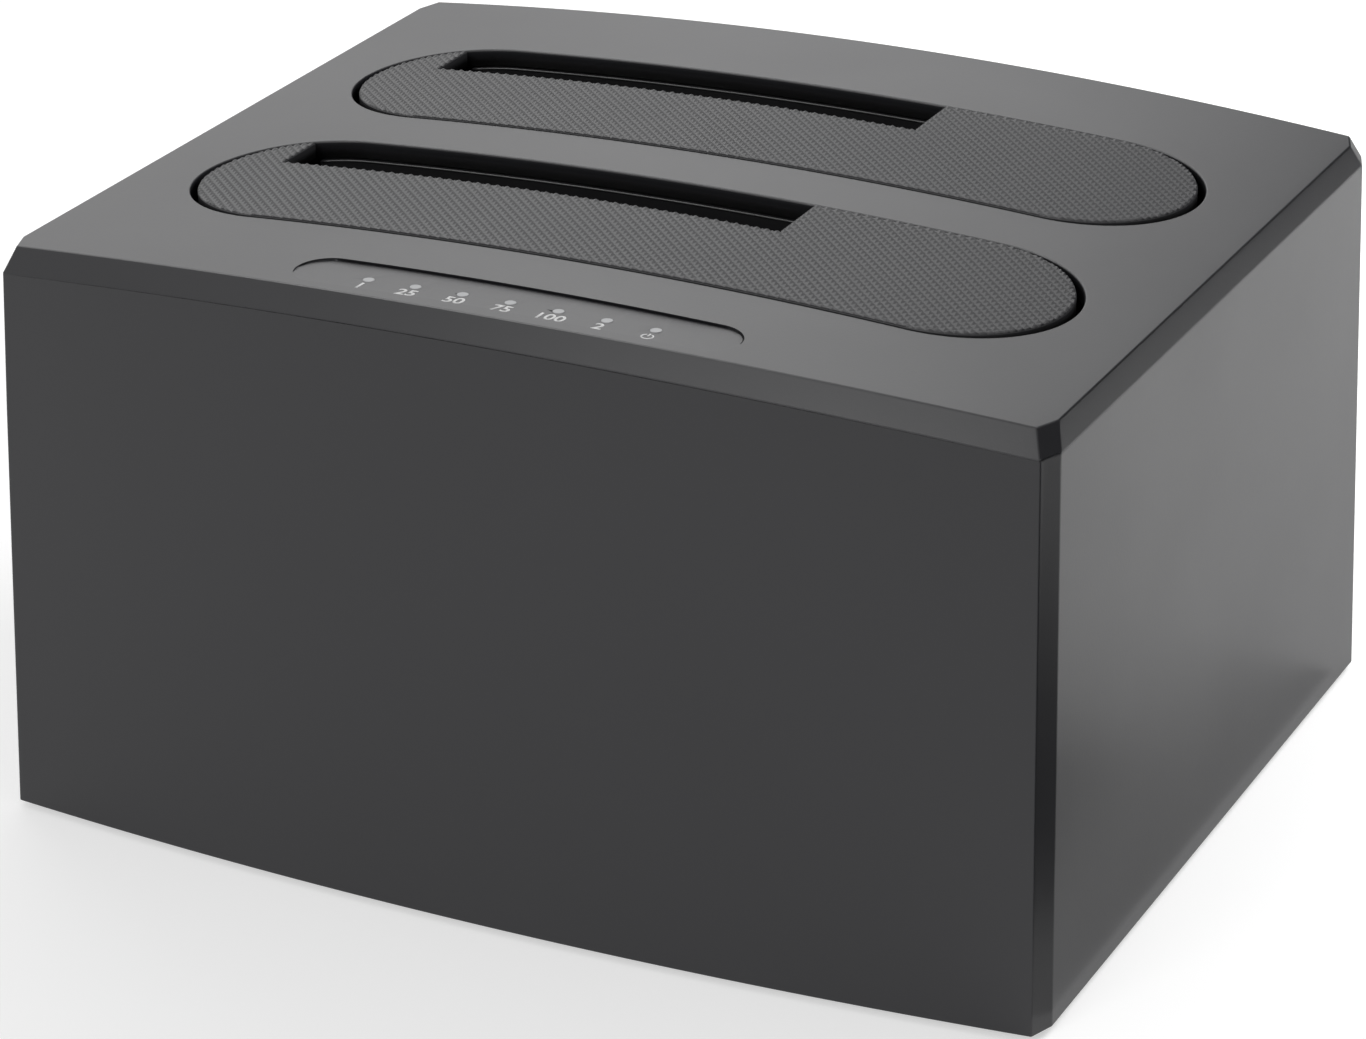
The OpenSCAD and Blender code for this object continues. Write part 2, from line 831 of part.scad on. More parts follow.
module flap_spring(y) {
    color(steel)
        translate([0, y + hinge_y, hinge_z])
            wire(spring_path);
}

module front_flap_spring() {
    flap_spring(bay_ys[0]);
}

module rear_flap_spring() {
    flap_spring(bay_ys[1]);
}

module main_board() {
    color(board_green)
        difference() {
            box([-board_half, board_half], [board_front_y, board_rear_y], [board_z, board_top]);
            at_standoffs()
                translate([0, 0, board_z - over])
                    cylinder(r = screw_r + gap, h = board_t + 2 * over);
        }
}

module board_screws() {
    color(steel)
        at_standoffs()
            translate([0, 0, board_top])
                mirror([0, 0, 1])
                    screw(board_screw_len);
}

// A drive socket with a short data slot and a long power slot
module sata_socket(y) {
    color("#141416")
        translate([sata_x, y + sata_y, 0])
            difference() {
                box([-sata_len / 2, sata_len / 2], [-sata_w / 2, sata_w / 2], [board_top, well_floor_z]);
                for (i = [0, 1])
                    box([slot_starts[i], slot_starts[i] + slot_lens[i]], [-sata_slot_w / 2, sata_slot_w / 2],
                        [well_floor_z - sata_depth, well_floor_z + over]);
            }
}

// The contact blades along the rear of both slots
module sata_contacts(y) {
    blade = [0.6, 0.35];
    color("#c9a24a")
        translate([sata_x, y + sata_y, 0])
            for (i = [0, 1], k = [0 : contact_counts[i] - 1])
                translate([slot_starts[i] + contact_margin + k * contact_pitch, sata_slot_w / 2, 0])
                    box([-blade[0] / 2, blade[0] / 2], [-blade[1], 0],
                        [well_floor_z - sata_depth, well_floor_z - 0.8]);
}

module front_sata_socket() {
    sata_socket(bay_ys[0]);
}

module rear_sata_socket() {
    sata_socket(bay_ys[1]);
}

module front_sata_contacts() {
    sata_contacts(bay_ys[0]);
}

module rear_sata_contacts() {
    sata_contacts(bay_ys[1]);
}

// A flat component on the board
module on_board(place, size) {
    translate([place[0], place[1], board_top])
        box([-size[0] / 2, size[0] / 2], [-size[1] / 2, size[1] / 2], [0, size[2]]);
}

module bridge_chip() {
    color("#101012")
        on_board(bridge_place, bridge_size);
}

module copy_chip() {
    color("#101012")
        on_board(copy_chip_place, copy_chip_size);
}

module crystal() {
    color(steel)
        on_board(crystal_place, crystal_size);
}

module inductors() {
    color("#3a3a3e")
        for (i = [0, 1])
            on_board([inductor_x, inductor_y + i * inductor_pitch], inductor_size);
}

module capacitors() {
    color("#26324a")
        for (i = [0, 1])
            translate([capacitor_x + i * capacitor_pitch, capacitor_y, board_top])
                cylinder(r = capacitor_r, h = capacitor_h);
}

module usb_shell() {
    color(steel)
        translate([usb_x, usb_front_y, board_top])
            difference() {
                box([-usb_w / 2, usb_w / 2], [0, usb_len], [0, usb_h]);
                translate([0, usb_len + over, 0])
                    rotate([90, 0, 0])
                        linear_extrude(usb_depth + over)
                            polygon(usb_outline);
            }
}

// The insulator at the bottom of the socket, with its two tongues
module usb_tongue() {
    floor_y = usb_len - usb_depth;
    tip_y = usb_len - 2;
    color("#1f4fa8")
        translate([usb_x, usb_front_y, board_top]) {
            translate([0, floor_y + usb_back_t, 0])
                rotate([90, 0, 0])
                    linear_extrude(usb_back_t)
                        polygon(0.98 * usb_outline + [for (p = usb_outline) [0, 0.12]]);
            box([-tongue_w / 2, tongue_w / 2], [floor_y + usb_back_t / 2, tip_y], tongue_zs);
            box([-upper_tongue_w / 2, upper_tongue_w / 2], [floor_y + usb_back_t / 2, tip_y], upper_tongue_zs);
        }
}

module usb_contacts() {
    from_y = usb_len - usb_depth + usb_back_t;
    to_y = usb_len - 3;
    color("#c9a24a")
        translate([usb_x, usb_front_y, board_top]) {
            for (x = [-1.25, 1.25]) {
                box([x - 0.5, x + 0.5], [from_y, to_y], [tongue_zs[1], tongue_zs[1] + strip_t]);
                box([x - 0.5, x + 0.5], [from_y, to_y], [tongue_zs[0] - strip_t, tongue_zs[0]]);
            }
            for (i = [-2 : 2])
                box([i * 0.8 - 0.25, i * 0.8 + 0.25], [from_y, to_y],
                    [upper_tongue_zs[0] - strip_t, upper_tongue_zs[0]]);
        }
}

module dc_jack() {
    color("#161618")
        translate([dc_x, dc_front_y, 0])
            difference() {
                box([-dc_w / 2, dc_w / 2], [0, dc_len], [board_top, board_top + dc_h]);
                translate([0, 0, io_z])
                    rod([dc_len - dc_depth, dc_len + over], dc_bore_r);
            }
}

module dc_jack_pin() {
    color(steel)
        translate([dc_x, dc_front_y, io_z])
            rod([dc_len - dc_depth, dc_len - 1], dc_pin_r);
}

flange_y = rear_inner_y - play;

function switch_face(travel) = flange_y - flange_t - travel - 0.8;

// A switch on the board with a bore for the stem of its button
module push_switch(x, travel) {
    face_y = switch_face(travel);
    color("#2f2f33")
        difference() {
            box([x - switch_w / 2, x + switch_w / 2], [face_y - switch_len, face_y], [board_top, io_z + 3.4]);
            translate([x, 0, io_z])
                rod([face_y - stem_hold - travel - 0.6, face_y + over], stem_r + fit);
        }
}

module button_stem(x, travel) {
    translate([x, 0, io_z])
        rod([switch_face(travel) - stem_hold, flange_y - flange_t / 2], stem_r);
}

module power_switch() {
    push_switch(power_x, power_travel);
}

module power_button() {
    half = power_cap / 2;
    rim = half + [flange_rim, flange_rim];
    color("#38383b") {
        box([power_x - half[0], power_x + half[0]], [flange_y - flange_t / 2, io_floor_y + cap_out],
            [io_z - half[1], io_z + half[1]]);
        box([power_x - rim[0], power_x + rim[0]], [flange_y - flange_t, flange_y], [io_z - rim[1], io_z + rim[1]]);
        button_stem(power_x, power_travel);
    }
}

module copy_switch() {
    push_switch(copy_x, copy_travel);
}

module copy_button() {
    color("#38383b") {
        translate([copy_x, 0, io_z]) {
            rod([flange_y - flange_t / 2, io_floor_y + cap_out], copy_cap_r);
            rod([flange_y - flange_t, flange_y], copy_cap_r + flange_rim);
        }
        button_stem(copy_x, copy_travel);
    }
}

module led_board() {
    color(board_green)
        difference() {
            translate([light_mid_x, led_board_y, 0])
                box([-led_board_len / 2, led_board_len / 2], [-led_board_w / 2, led_board_w / 2],
                    [led_board_z, led_board_top]);
            at_led_bosses()
                translate([0, 0, led_board_z - over])
                    cylinder(r = screw_r + gap, h = led_board_t + 2 * over);
        }
}

module led_board_screws() {
    color(steel)
        at_led_bosses()
            translate([0, 0, led_board_z])
                screw(led_screw_len);
}

module leds() {
    color("#e8e6dc")
        for (i = [0 : light_count - 1])
            translate([light_x(i), light_y, led_board_top])
                box([-led_size[0] / 2, led_size[0] / 2], [-led_size[1] / 2, led_size[1] / 2], [0, led_size[2]]);
}

// One clear moulding: a bar under the top with a pin up through each hole
module light_guide() {
    end_x = (light_count - 1) / 2 * light_pitch + guide_end;
    bar_z = top_z(end_x + abs(light_mid_x)) - top_wall - gap;
    color("#d5d7d8") {
        translate([light_mid_x, light_y, 0])
            box([-end_x, end_x], [-guide_bar_w / 2, guide_bar_w / 2], [bar_z - guide_bar_t, bar_z]);
        for (i = [0 : light_count - 1])
            translate([light_x(i), light_y, led_board_top + led_size[2] + gap])
                cylinder(d = light_d, h = top_z(light_x(i)) - light_depth - led_board_top - led_size[2] - gap);
    }
}

// The sockets at both ends of the flat lead
module led_plugs() {
    half_x = plug_size[0] / 2;
    half_y = plug_size[1] / 2;
    color("#e4ddc8")
        translate([light_mid_x, 0, 0]) {
            translate([0, ribbon_top_y, led_board_z])
                box([-half_x, half_x], [-half_y, half_y], [-plug_size[2], 0]);
            translate([0, ribbon_low_y, board_top])
                box([-half_x, half_x], [-half_y, half_y], [0, plug_size[2]]);
        }
}

// The flat lead between the boards, bent along the front of the well
module led_ribbon() {
    high_z = led_board_z - plug_size[2];
    low_z = board_top + plug_size[2];
    bend = (high_z - low_z) / 4;
    half = ribbon_t / 2;
    color("#8d8f93")
        translate([light_mid_x - ribbon_w / 2, 0, 0])
            rotate([90, 0, 90])
                linear_extrude(ribbon_w)
                    polygon([[ribbon_top_y - half, high_z], [ribbon_top_y - half, high_z - bend],
                        [ribbon_low_y - half, low_z + bend], [ribbon_low_y - half, low_z],
                        [ribbon_low_y + half, low_z], [ribbon_low_y + half, low_z + bend],
                        [ribbon_top_y + half, high_z - bend], [ribbon_top_y + half, high_z]]);
}

upper_housing();
base_plate();
rubber_feet();
case_screws();
front_drive_well();
rear_drive_well();
well_screws();
front_flap();
rear_flap();
front_flap_pin();
rear_flap_pin();
front_flap_spring();
rear_flap_spring();
main_board();
board_screws();
front_sata_socket();
rear_sata_socket();
front_sata_contacts();
rear_sata_contacts();
bridge_chip();
copy_chip();
crystal();
inductors();
capacitors();
usb_shell();
usb_tongue();
usb_contacts();
dc_jack();
dc_jack_pin();
power_switch();
power_button();
copy_switch();
copy_button();
led_board();
led_board_screws();
leds();
light_guide();
led_plugs();
led_ribbon();
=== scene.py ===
"""Looks of a two-bay drive docking station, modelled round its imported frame.

Pieces are shaped in millimetres, with the top flat and the front straight, and are then
brought to the crown of the top, the bow of the front and to metres.
"""

import json
import math

import bmesh
import bpy
from mathutils import Matrix, Vector


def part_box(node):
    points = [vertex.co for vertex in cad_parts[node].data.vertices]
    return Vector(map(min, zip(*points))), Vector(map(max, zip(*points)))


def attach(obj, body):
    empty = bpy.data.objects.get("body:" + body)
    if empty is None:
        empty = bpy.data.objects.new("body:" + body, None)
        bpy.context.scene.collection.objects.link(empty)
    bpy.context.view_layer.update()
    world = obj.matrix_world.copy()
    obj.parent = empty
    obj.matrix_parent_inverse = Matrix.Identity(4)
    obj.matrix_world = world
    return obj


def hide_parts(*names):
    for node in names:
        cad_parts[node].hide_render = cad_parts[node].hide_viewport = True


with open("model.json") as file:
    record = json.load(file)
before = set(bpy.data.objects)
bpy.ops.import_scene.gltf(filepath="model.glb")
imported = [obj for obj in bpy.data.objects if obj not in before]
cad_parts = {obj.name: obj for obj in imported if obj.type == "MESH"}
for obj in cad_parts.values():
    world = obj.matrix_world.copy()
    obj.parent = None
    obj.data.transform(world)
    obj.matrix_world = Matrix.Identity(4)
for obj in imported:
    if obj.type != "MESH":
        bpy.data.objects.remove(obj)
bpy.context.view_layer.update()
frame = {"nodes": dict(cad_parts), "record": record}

# Sizes of the case, in millimetres, as in the part's source
HALF_W = 75.0
FRONT_Y = -62.65
REAR_Y = 62.65
BASE_Z = 1.0
CASE_H = 78.75
TOP_Z = 83.65
CROWN_R = 723.1
BOW_R = 656.2
SIDE_DRAFT = 1.8
FRONT_DRAFT = 2.3
REAR_DRAFT = 2.4
WALL = 2.2
TOP_WALL = 2.4
END_IN = 1.8
SIDE_IN = 1.1
CHAMFER_DOWN = 3.2
CORNER_FRONT = 1.3
CORNER_SIDE = 3.4
TOP_CORNER = (1.4, 3.4)
TOP_CORNER_LEAN = 0.57
EDGE_R = 0.2
RIM_IN = 0.3
RIM_R = 0.3
BAY_YS = {"front": -21.15, "rear": 21.95}
OPENING = (125.0, 32.2)
SLOT_X = (-53.5, 19.8)
SLOT_Y = 4.9
LID = (122.5, 31.15)
LID_Y = -0.025
LID_PROUD = 0.35
LID_T = 2.4
KNURL_PITCH = 1.02
KNURL_H = 0.35
HINGE_Y = -19.7
HINGE_Z = 78.25
PIN_R = 1.25
KNUCKLE_X = 30.0
KNUCKLE_W = 5.0
KNUCKLE_R = 1.7
POCKET = (61.7, 8.6)
POCKET_Y = -51.85
POCKET_DEPTH = 0.3
GROOVE_W = 0.3
GROOVE_LEAN = 0.5
LIGHT_Y = -52.9
LIGHT_X = [0.4 + 6.65 * i for i in range(-3, 4)]
LIGHT_D = 1.5
MARK_Y = LIGHT_Y - 2.4
# Rear connectors
IO_X = (-53.0, 56.0)
IO_Z = (8.3, 24.9)
IO_DEPTH = 1.0
# Points above this height follow the crown, and points this far behind the front follow its bow
CROWN_FROM = 60.0
BOW_DEPTH = 2.6
BOW_AT_CORNER = 8.0
CORNER_X = 40.0
STRIP = 2.5


def crown_drop(x):
    return CROWN_R - math.sqrt(CROWN_R**2 - x * x)


def bow_back(x):
    return BOW_R - math.sqrt(BOW_R**2 - x * x)


def pocket_floor(y):
    """The floor of the pocket, which rises to the top at its front."""
    return TOP_Z - 0.02 - POCKET_DEPTH * ((y - POCKET_Y) / POCKET[1] + 0.5)


def node_box(node):
    """A node's lowest and highest corners, in millimetres."""
    return [Vector(corner) * 1000 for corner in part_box(node)]


# Modelling


def only(piece):
    bpy.ops.object.select_all(action="DESELECT")
    piece.select_set(True)
    bpy.context.view_layer.objects.active = piece


def edit(piece):
    only(piece)
    bpy.ops.object.mode_set(mode="EDIT")


def done():
    bpy.ops.object.mode_set(mode="OBJECT")


def block(name, low, high):
    """A box between two corners."""
    low, high = Vector(low), Vector(high)
    bpy.ops.object.select_all(action="DESELECT")
    bpy.ops.mesh.primitive_cube_add(size=1, location=(low + high) / 2)
    piece = bpy.context.object
    piece.name = piece.data.name = name
    piece.scale = high - low
    bpy.ops.object.transform_apply(location=True, rotation=True, scale=True)
    return piece


def pick(piece, kind, test):
    """In edit mode, selects the faces, edges or vertices that pass a test."""
    bpy.ops.mesh.select_mode(type=kind)
    bpy.ops.mesh.select_all(action="DESELECT")
    mesh = bmesh.from_edit_mesh(piece.data)
    for item in {"VERT": mesh.verts, "EDGE": mesh.edges, "FACE": mesh.faces}[kind]:
        if test(item):
            item.select_set(True)
    mesh.select_flush_mode()
    bmesh.update_edit_mesh(piece.data)


def middle(edge):
    return (edge.verts[0].co + edge.verts[1].co) / 2


def along(edge):
    return (edge.verts[1].co - edge.verts[0].co).normalized()


def slice_off(piece, point, normal):
    """Cuts away what lies beyond a plane and closes the cut."""
    edit(piece)
    bpy.ops.mesh.select_all(action="SELECT")
    bpy.ops.mesh.bisect(
        plane_co=point, plane_no=Vector(normal).normalized(), use_fill=True, clear_outer=True, threshold=1e-5
    )
    done()


def bevel(piece, width, segments, test=lambda edge: True):
    """Rounds the edges that pass a test."""
    edit(piece)
    pick(piece, "EDGE", test)
    bpy.ops.mesh.bevel(offset=width, segments=segments, affect="EDGES", profile=0.5)
    done()


def rounded(name, centre, size, corner, z, flare=0.0, steps=5, fan=16):
    """An upright block with round corners. A flare widens it to its top by a quarter round."""
    bpy.ops.object.select_all(action="DESELECT")
    low, high = (z[1], z[1] + 2) if flare else z
    bpy.ops.mesh.primitive_cylinder_add(
        vertices=4 * fan,
        radius=corner + flare,
        depth=high - low,
        location=(*centre, (low + high) / 2),
        rotation=(0, 0, math.pi / 4 / fan),
    )
    piece = bpy.context.object
    piece.name = piece.data.name = name
    bpy.ops.object.transform_apply(location=True, rotation=True, scale=True)
    edit(piece)
    for axis in (0, 1):
        for side in (-1, 1):
            pick(piece, "VERT", lambda point: (point.co[axis] - centre[axis]) * side > 0)
            shift = [0, 0, 0]
            shift[axis] = side * (size[axis] / 2 - corner)
            bpy.ops.transform.translate(value=shift)
    if flare:
        pick(piece, "FACE", lambda face: face.normal.z < -0.9)
        turns = [math.pi / 2 * step / steps for step in range(steps + 1)]
        for begin, end in zip(turns, turns[1:]):
            bpy.ops.mesh.inset(
                thickness=flare * (math.sin(end) - math.sin(begin)),
                depth=flare * (math.cos(begin) - math.cos(end)),
            )
        bpy.ops.mesh.extrude_region_move(TRANSFORM_OT_translate={"value": (0, 0, z[0] - z[1] + flare)})
    done()
    return piece


def round_bar(name, low, high, radius, sides=40):
    """A round bar between two points."""
    low, high = Vector(low), Vector(high)
    bpy.ops.object.select_all(action="DESELECT")
    bpy.ops.mesh.primitive_cylinder_add(
        vertices=sides,
        radius=radius,
        depth=(high - low).length,
        location=(low + high) / 2,
        rotation=(high - low).to_track_quat("Z", "Y").to_euler(),
    )
    piece = bpy.context.object
    piece.name = piece.data.name = name
    bpy.ops.object.transform_apply(location=True, rotation=True, scale=True)
    return piece


def prism(name, points, reach):
    """An outline drawn out along a line."""
    bpy.ops.object.select_all(action="DESELECT")
    bpy.ops.mesh.primitive_circle_add(vertices=len(points), fill_type="NGON")
    piece = bpy.context.object
    piece.name = piece.data.name = name
    for point, place in zip(piece.data.vertices, points):
        point.co = place
    edit(piece)
    bpy.ops.mesh.select_all(action="SELECT")
    bpy.ops.mesh.extrude_region_move(TRANSFORM_OT_translate={"value": reach})
    bpy.ops.mesh.select_all(action="SELECT")
    bpy.ops.mesh.normals_make_consistent(inside=False)
    done()
    return piece


def wire(name, path, radius):
    """A round wire along a path, with closed ends."""
    line = bpy.data.curves.new(name, "CURVE")
    line.dimensions = "3D"
    line.bevel_depth = radius
    line.bevel_resolution = 3
    line.use_fill_caps = True
    spline = line.splines.new("POLY")
    spline.points.add(len(path) - 1)
    for point, place in zip(spline.points, path):
        point.co = (*place, 1)
    piece = bpy.data.objects.new(name, line)
    bpy.context.scene.collection.objects.link(piece)
    only(piece)
    bpy.ops.object.convert(target="MESH")
    piece = bpy.context.object
    piece.data.name = name
    edit(piece)
    bpy.ops.mesh.select_all(action="SELECT")
    bpy.ops.mesh.remove_doubles(threshold=1e-4)
    bpy.ops.mesh.normals_make_consistent(inside=False)
    done()
    return piece


def apply(piece, change):
    only(piece)
    bpy.ops.object.modifier_apply(modifier=change.name)


def combine(piece, tool, operation="DIFFERENCE"):
    change = piece.modifiers.new("combine", "BOOLEAN")
    change.operation = operation
    change.solver = "EXACT"
    change.object = tool
    apply(piece, change)
    bpy.data.objects.remove(tool, do_unlink=True)


def strips(piece, low, high, step):
    """Divides a piece along X so that it can follow the crown and the bow."""
    edit(piece)
    count = round((high - low) / step)
    for i in range(1, count):
        bpy.ops.mesh.select_all(action="SELECT")
        bpy.ops.mesh.bisect(plane_co=(low + i * step, 0, 0), plane_no=(1, 0, 0), threshold=1e-5)
    done()


def follow_case(piece):
    """Brings a piece to the crown of the top and the bow of the front."""
    for point in piece.data.vertices:
        x, y, z = point.co
        behind = y - FRONT_Y - FRONT_DRAFT * (z - BASE_Z) / CASE_H
        if z > CROWN_FROM:
            point.co.z -= crown_drop(x)
        if behind < (BOW_AT_CORNER if abs(x) > CORNER_X else BOW_DEPTH):
            point.co.y += bow_back(x)


def finish(piece, body, material, nodes=(), angle=32):
    """Brings a piece to metres and gives it its finish and its body."""
    only(piece)
    piece.scale = (0.001, 0.001, 0.001)
    bpy.ops.object.transform_apply(location=True, rotation=True, scale=True)
    bpy.ops.object.shade_smooth_by_angle(angle=math.radians(angle))
    apply(piece, piece.modifiers.new("normals", "WEIGHTED_NORMAL"))
    piece.data.materials.clear()
    piece.data.materials.append(material)
    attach(piece, body)
    if nodes:
        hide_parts(*nodes)
    return piece


# Materials


def linear(code):
    """A colour written as an sRGB hex value, in linear light."""
    parts = [int(code[i : i + 2], 16) / 255 for i in (1, 3, 5)]
    return [c / 12.92 if c <= 0.04045 else ((c + 0.055) / 1.055) ** 2.4 for c in parts] + [1.0]


def add(tree, kind, links=None, **settings):
    """Adds a node, sets its fields and inputs, and links what is given as a socket."""
    new = tree.nodes.new(kind)
    for name, value in settings.items():
        setattr(new, name, value)
    for name, value in (links or {}).items():
        if isinstance(value, bpy.types.NodeSocket):
            tree.links.new(value, new.inputs[name])
        else:
            new.inputs[name].default_value = value
    return new


def start(name):
    material = bpy.data.materials.new(name)
    material.use_nodes = True
    tree = material.node_tree
    tree.nodes.clear()
    shader = add(tree, "ShaderNodeBsdfPrincipled")
    add(tree, "ShaderNodeOutputMaterial", {"Surface": shader.outputs["BSDF"]})
    place = add(tree, "ShaderNodeTexCoord").outputs["Object"]
    return material, tree, shader, place


def moulded(name, dark, pale, roughness, spread, grain_mm, depth, specular=0.5, ior=1.53):
    """Moulded plastic: a fine grain from the tool, and a slow change of tone and gloss over the surface."""
    material, tree, shader, place = start(name)
    grain = add(
        tree,
        "ShaderNodeTexNoise",
        {"Vector": place, "Scale": 1000 / grain_mm, "Detail": 3.0, "Roughness": 0.6},
    )
    cloud = add(tree, "ShaderNodeTexNoise", {"Vector": place, "Scale": 35.0, "Detail": 3.0})
    tone = add(
        tree,
        "ShaderNodeMix",
        {"Factor": cloud.outputs["Fac"]},
        data_type="RGBA",
    )
    tone.inputs[6].default_value = linear(dark)
    tone.inputs[7].default_value = linear(pale)
    gloss = add(
        tree,
        "ShaderNodeMapRange",
        {"Value": cloud.outputs["Fac"], "To Min": roughness - spread, "To Max": roughness + spread},
    )
    bump = add(
        tree,
        "ShaderNodeBump",
        {"Height": grain.outputs["Fac"], "Strength": depth, "Distance": grain_mm / 10000},
    )
    tree.links.new(tone.outputs[2], shader.inputs["Base Color"])
    tree.links.new(gloss.outputs["Result"], shader.inputs["Roughness"])
    tree.links.new(bump.outputs["Normal"], shader.inputs["Normal"])
    shader.inputs["IOR"].default_value = ior
    shader.inputs["Specular IOR Level"].default_value = specular
    return material


def metal(name, dark, pale, roughness, grain_mm):
    """Plated metal: bright, with faint drawing lines along X."""
    material, tree, shader, place = start(name)
    turn = add(tree, "ShaderNodeMapping", {"Vector": place, "Scale": (0.08, 1.0, 1.0)})
    lines = add(
        tree,
        "ShaderNodeTexNoise",
        {"Vector": turn.outputs["Vector"], "Scale": 1000 / grain_mm, "Detail": 2.0},
    )
    tone = add(tree, "ShaderNodeMix", {"Factor": lines.outputs["Fac"]}, data_type="RGBA")
    tone.inputs[6].default_value = linear(dark)
    tone.inputs[7].default_value = linear(pale)
    gloss = add(
        tree,
        "ShaderNodeMapRange",
        {"Value": lines.outputs["Fac"], "To Min": roughness - 0.06, "To Max": roughness + 0.06},
    )
    tree.links.new(tone.outputs[2], shader.inputs["Base Color"])
    tree.links.new(gloss.outputs["Result"], shader.inputs["Roughness"])
    shader.inputs["Metallic"].default_value = 1.0
    return material


FINISH = {
    # Moulded ABS with a fine spark texture: black, satin, so it takes on the tone of what it reflects
    "case_plastic": moulded("abs_spark_texture", "#212124", "#262629", 0.4, 0.03, 0.35, 0.25),
    # The same ABS on the lids, a little duller on its knurl
    "lid_plastic": moulded("abs_knurled", "#2b2b2d", "#313133", 0.46, 0.03, 0.3, 0.15),
    # Smooth dark ABS inside the bays
    "well_plastic": moulded("abs_smooth_dark", "#19191a", "#1e1e20", 0.4, 0.04, 0.5, 0.1),
    # Soft rubber of the feet
    "foot_rubber": moulded("rubber_matt", "#1b1b1c", "#232324", 0.8, 0.05, 0.25, 0.4, ior=1.52),
    # Green solder mask over a glass-fibre board
    "circuit_board": moulded("board_solder_mask", "#17492d", "#1d5a38", 0.35, 0.05, 0.6, 0.1, ior=1.5),
    # Black nylon of the sockets
    "socket_plastic": moulded("nylon_black", "#141416", "#1a1a1c", 0.45, 0.05, 0.4, 0.1),
    # Epoxy of chips and coils
    "chip_plastic": moulded("epoxy_black", "#131314", "#1a1a1b", 0.55, 0.05, 0.15, 0.2),
    "capacitor_sleeve": moulded("sleeve_blue_black", "#1c2438", "#26324a", 0.3, 0.05, 0.6, 0.1),
    "tongue_plastic": moulded("nylon_blue", "#1a458f", "#1f4fa8", 0.4, 0.05, 0.4, 0.1),
    "switch_plastic": moulded("switch_nylon", "#28282b", "#303033", 0.5, 0.05, 0.4, 0.1),
    "button_plastic": moulded("abs_button", "#303033", "#37373a", 0.42, 0.04, 0.35, 0.2),
    "lamp_plastic": moulded("lamp_epoxy_milky", "#d8d6cc", "#e8e6dc", 0.3, 0.05, 0.6, 0.05, ior=1.5),
    # Milky acrylic of the light guide, unlit
    "light_guide_acrylic": moulded("acrylic_milky", "#98999b", "#a2a3a5", 0.4, 0.05, 0.6, 0.05, ior=1.49),
    "plug_plastic": moulded("nylon_ivory", "#d8d0ba", "#e4ddc8", 0.5, 0.05, 0.4, 0.1),
    "ribbon_plastic": moulded("vinyl_grey", "#83858a", "#8d8f93", 0.45, 0.05, 0.4, 0.1),
    # Zinc-plated screws, ground pins, drawn spring wire, tinned sheet and gold-plated contacts
    "screw_steel": metal("steel_zinc_plated", "#8f9297", "#b9bcc0", 0.38, 0.4),
    "pin_steel": metal("steel_ground", "#a9acb0", "#c6c9cc", 0.25, 0.3),
    "spring_steel": metal("steel_drawn_wire", "#8b8d90", "#b0b2b5", 0.3, 0.3),
    "can_metal": metal("nickel_can", "#a7aaae", "#c2c5c8", 0.3, 0.3),
    "shell_steel": metal("steel_tinned_sheet", "#a5a8ac", "#c4c7ca", 0.28, 0.4),
    "contact_gold": metal("gold_plated", "#b08a3a", "#d4ad55", 0.25, 0.3),
}
# White ink of the printed marks
INK = moulded("ink_pale", "#cfcfcf", "#dddddd", 0.6, 0.05, 0.2, 0.1)

for row in frame["record"]["subparts"]:
    carried = frame["nodes"][row["node"]].data
    carried.materials.clear()
    carried.materials.append(FINISH[row["material_slot"]])


# Case


def case_block(name, inset, top, low):
    """The case with a flat top and a straight front, or its inside."""
    height = TOP_Z - BASE_Z
    piece = block(name, (-90, -80, low), (90, 80, top))
    for side in (-1, 1):
        slice_off(piece, (side * (HALF_W - inset), 0, BASE_Z), (side, 0, SIDE_DRAFT / height))
    slice_off(piece, (0, FRONT_Y + inset, BASE_Z), (0, -1, FRONT_DRAFT / CASE_H))
    slice_off(piece, (0, REAR_Y - inset, BASE_Z), (0, 1, REAR_DRAFT / CASE_H))
    return piece


def cut_rear(piece):
    """Cuts the recess round the rear connectors, with soft corners, and the holes in its floor."""
    height = IO_Z[1] - IO_Z[0]
    recess = block("recess", (IO_X[0], REAR_Y - 4, IO_Z[0]), (IO_X[1], REAR_Y + 2, IO_Z[1]))
    bevel(recess, 1.2, 5, lambda e: abs(along(e).y) > 0.9)
    slice_off(recess, (0, REAR_Y - IO_DEPTH, BASE_Z), (0, -1, -REAR_DRAFT / CASE_H))
    bevel(recess, 0.3, 3, lambda e: middle(e).y < REAR_Y - 0.5 and abs(along(e).y) < 0.5)
    combine(piece, recess)
    for node, space in (("usb_shell", 0.3), ("dc_jack", 0.3), ("power_button", 0.4)):
        low, high = node_box(node)
        if node == "power_button":
            low, high = low + Vector((0.9, 0, 0.9)), high - Vector((0.9, 0, 0.9))
        near = (low.x - space, REAR_Y - 6, low.z - space)
        far = (high.x + space, REAR_Y + 3, high.z + space)
        hole = block("hole", near, far)
        bevel(hole, 0.5, 3, lambda e: abs(along(e).y) > 0.9)
        combine(piece, hole)
    low, high = node_box("copy_button")
    mid = (low + high) / 2
    radius = (high.x - low.x) / 2 - 0.5
    combine(piece, round_bar("hole", (mid.x, REAR_Y - 6, mid.z), (mid.x, REAR_Y + 3, mid.z), radius))


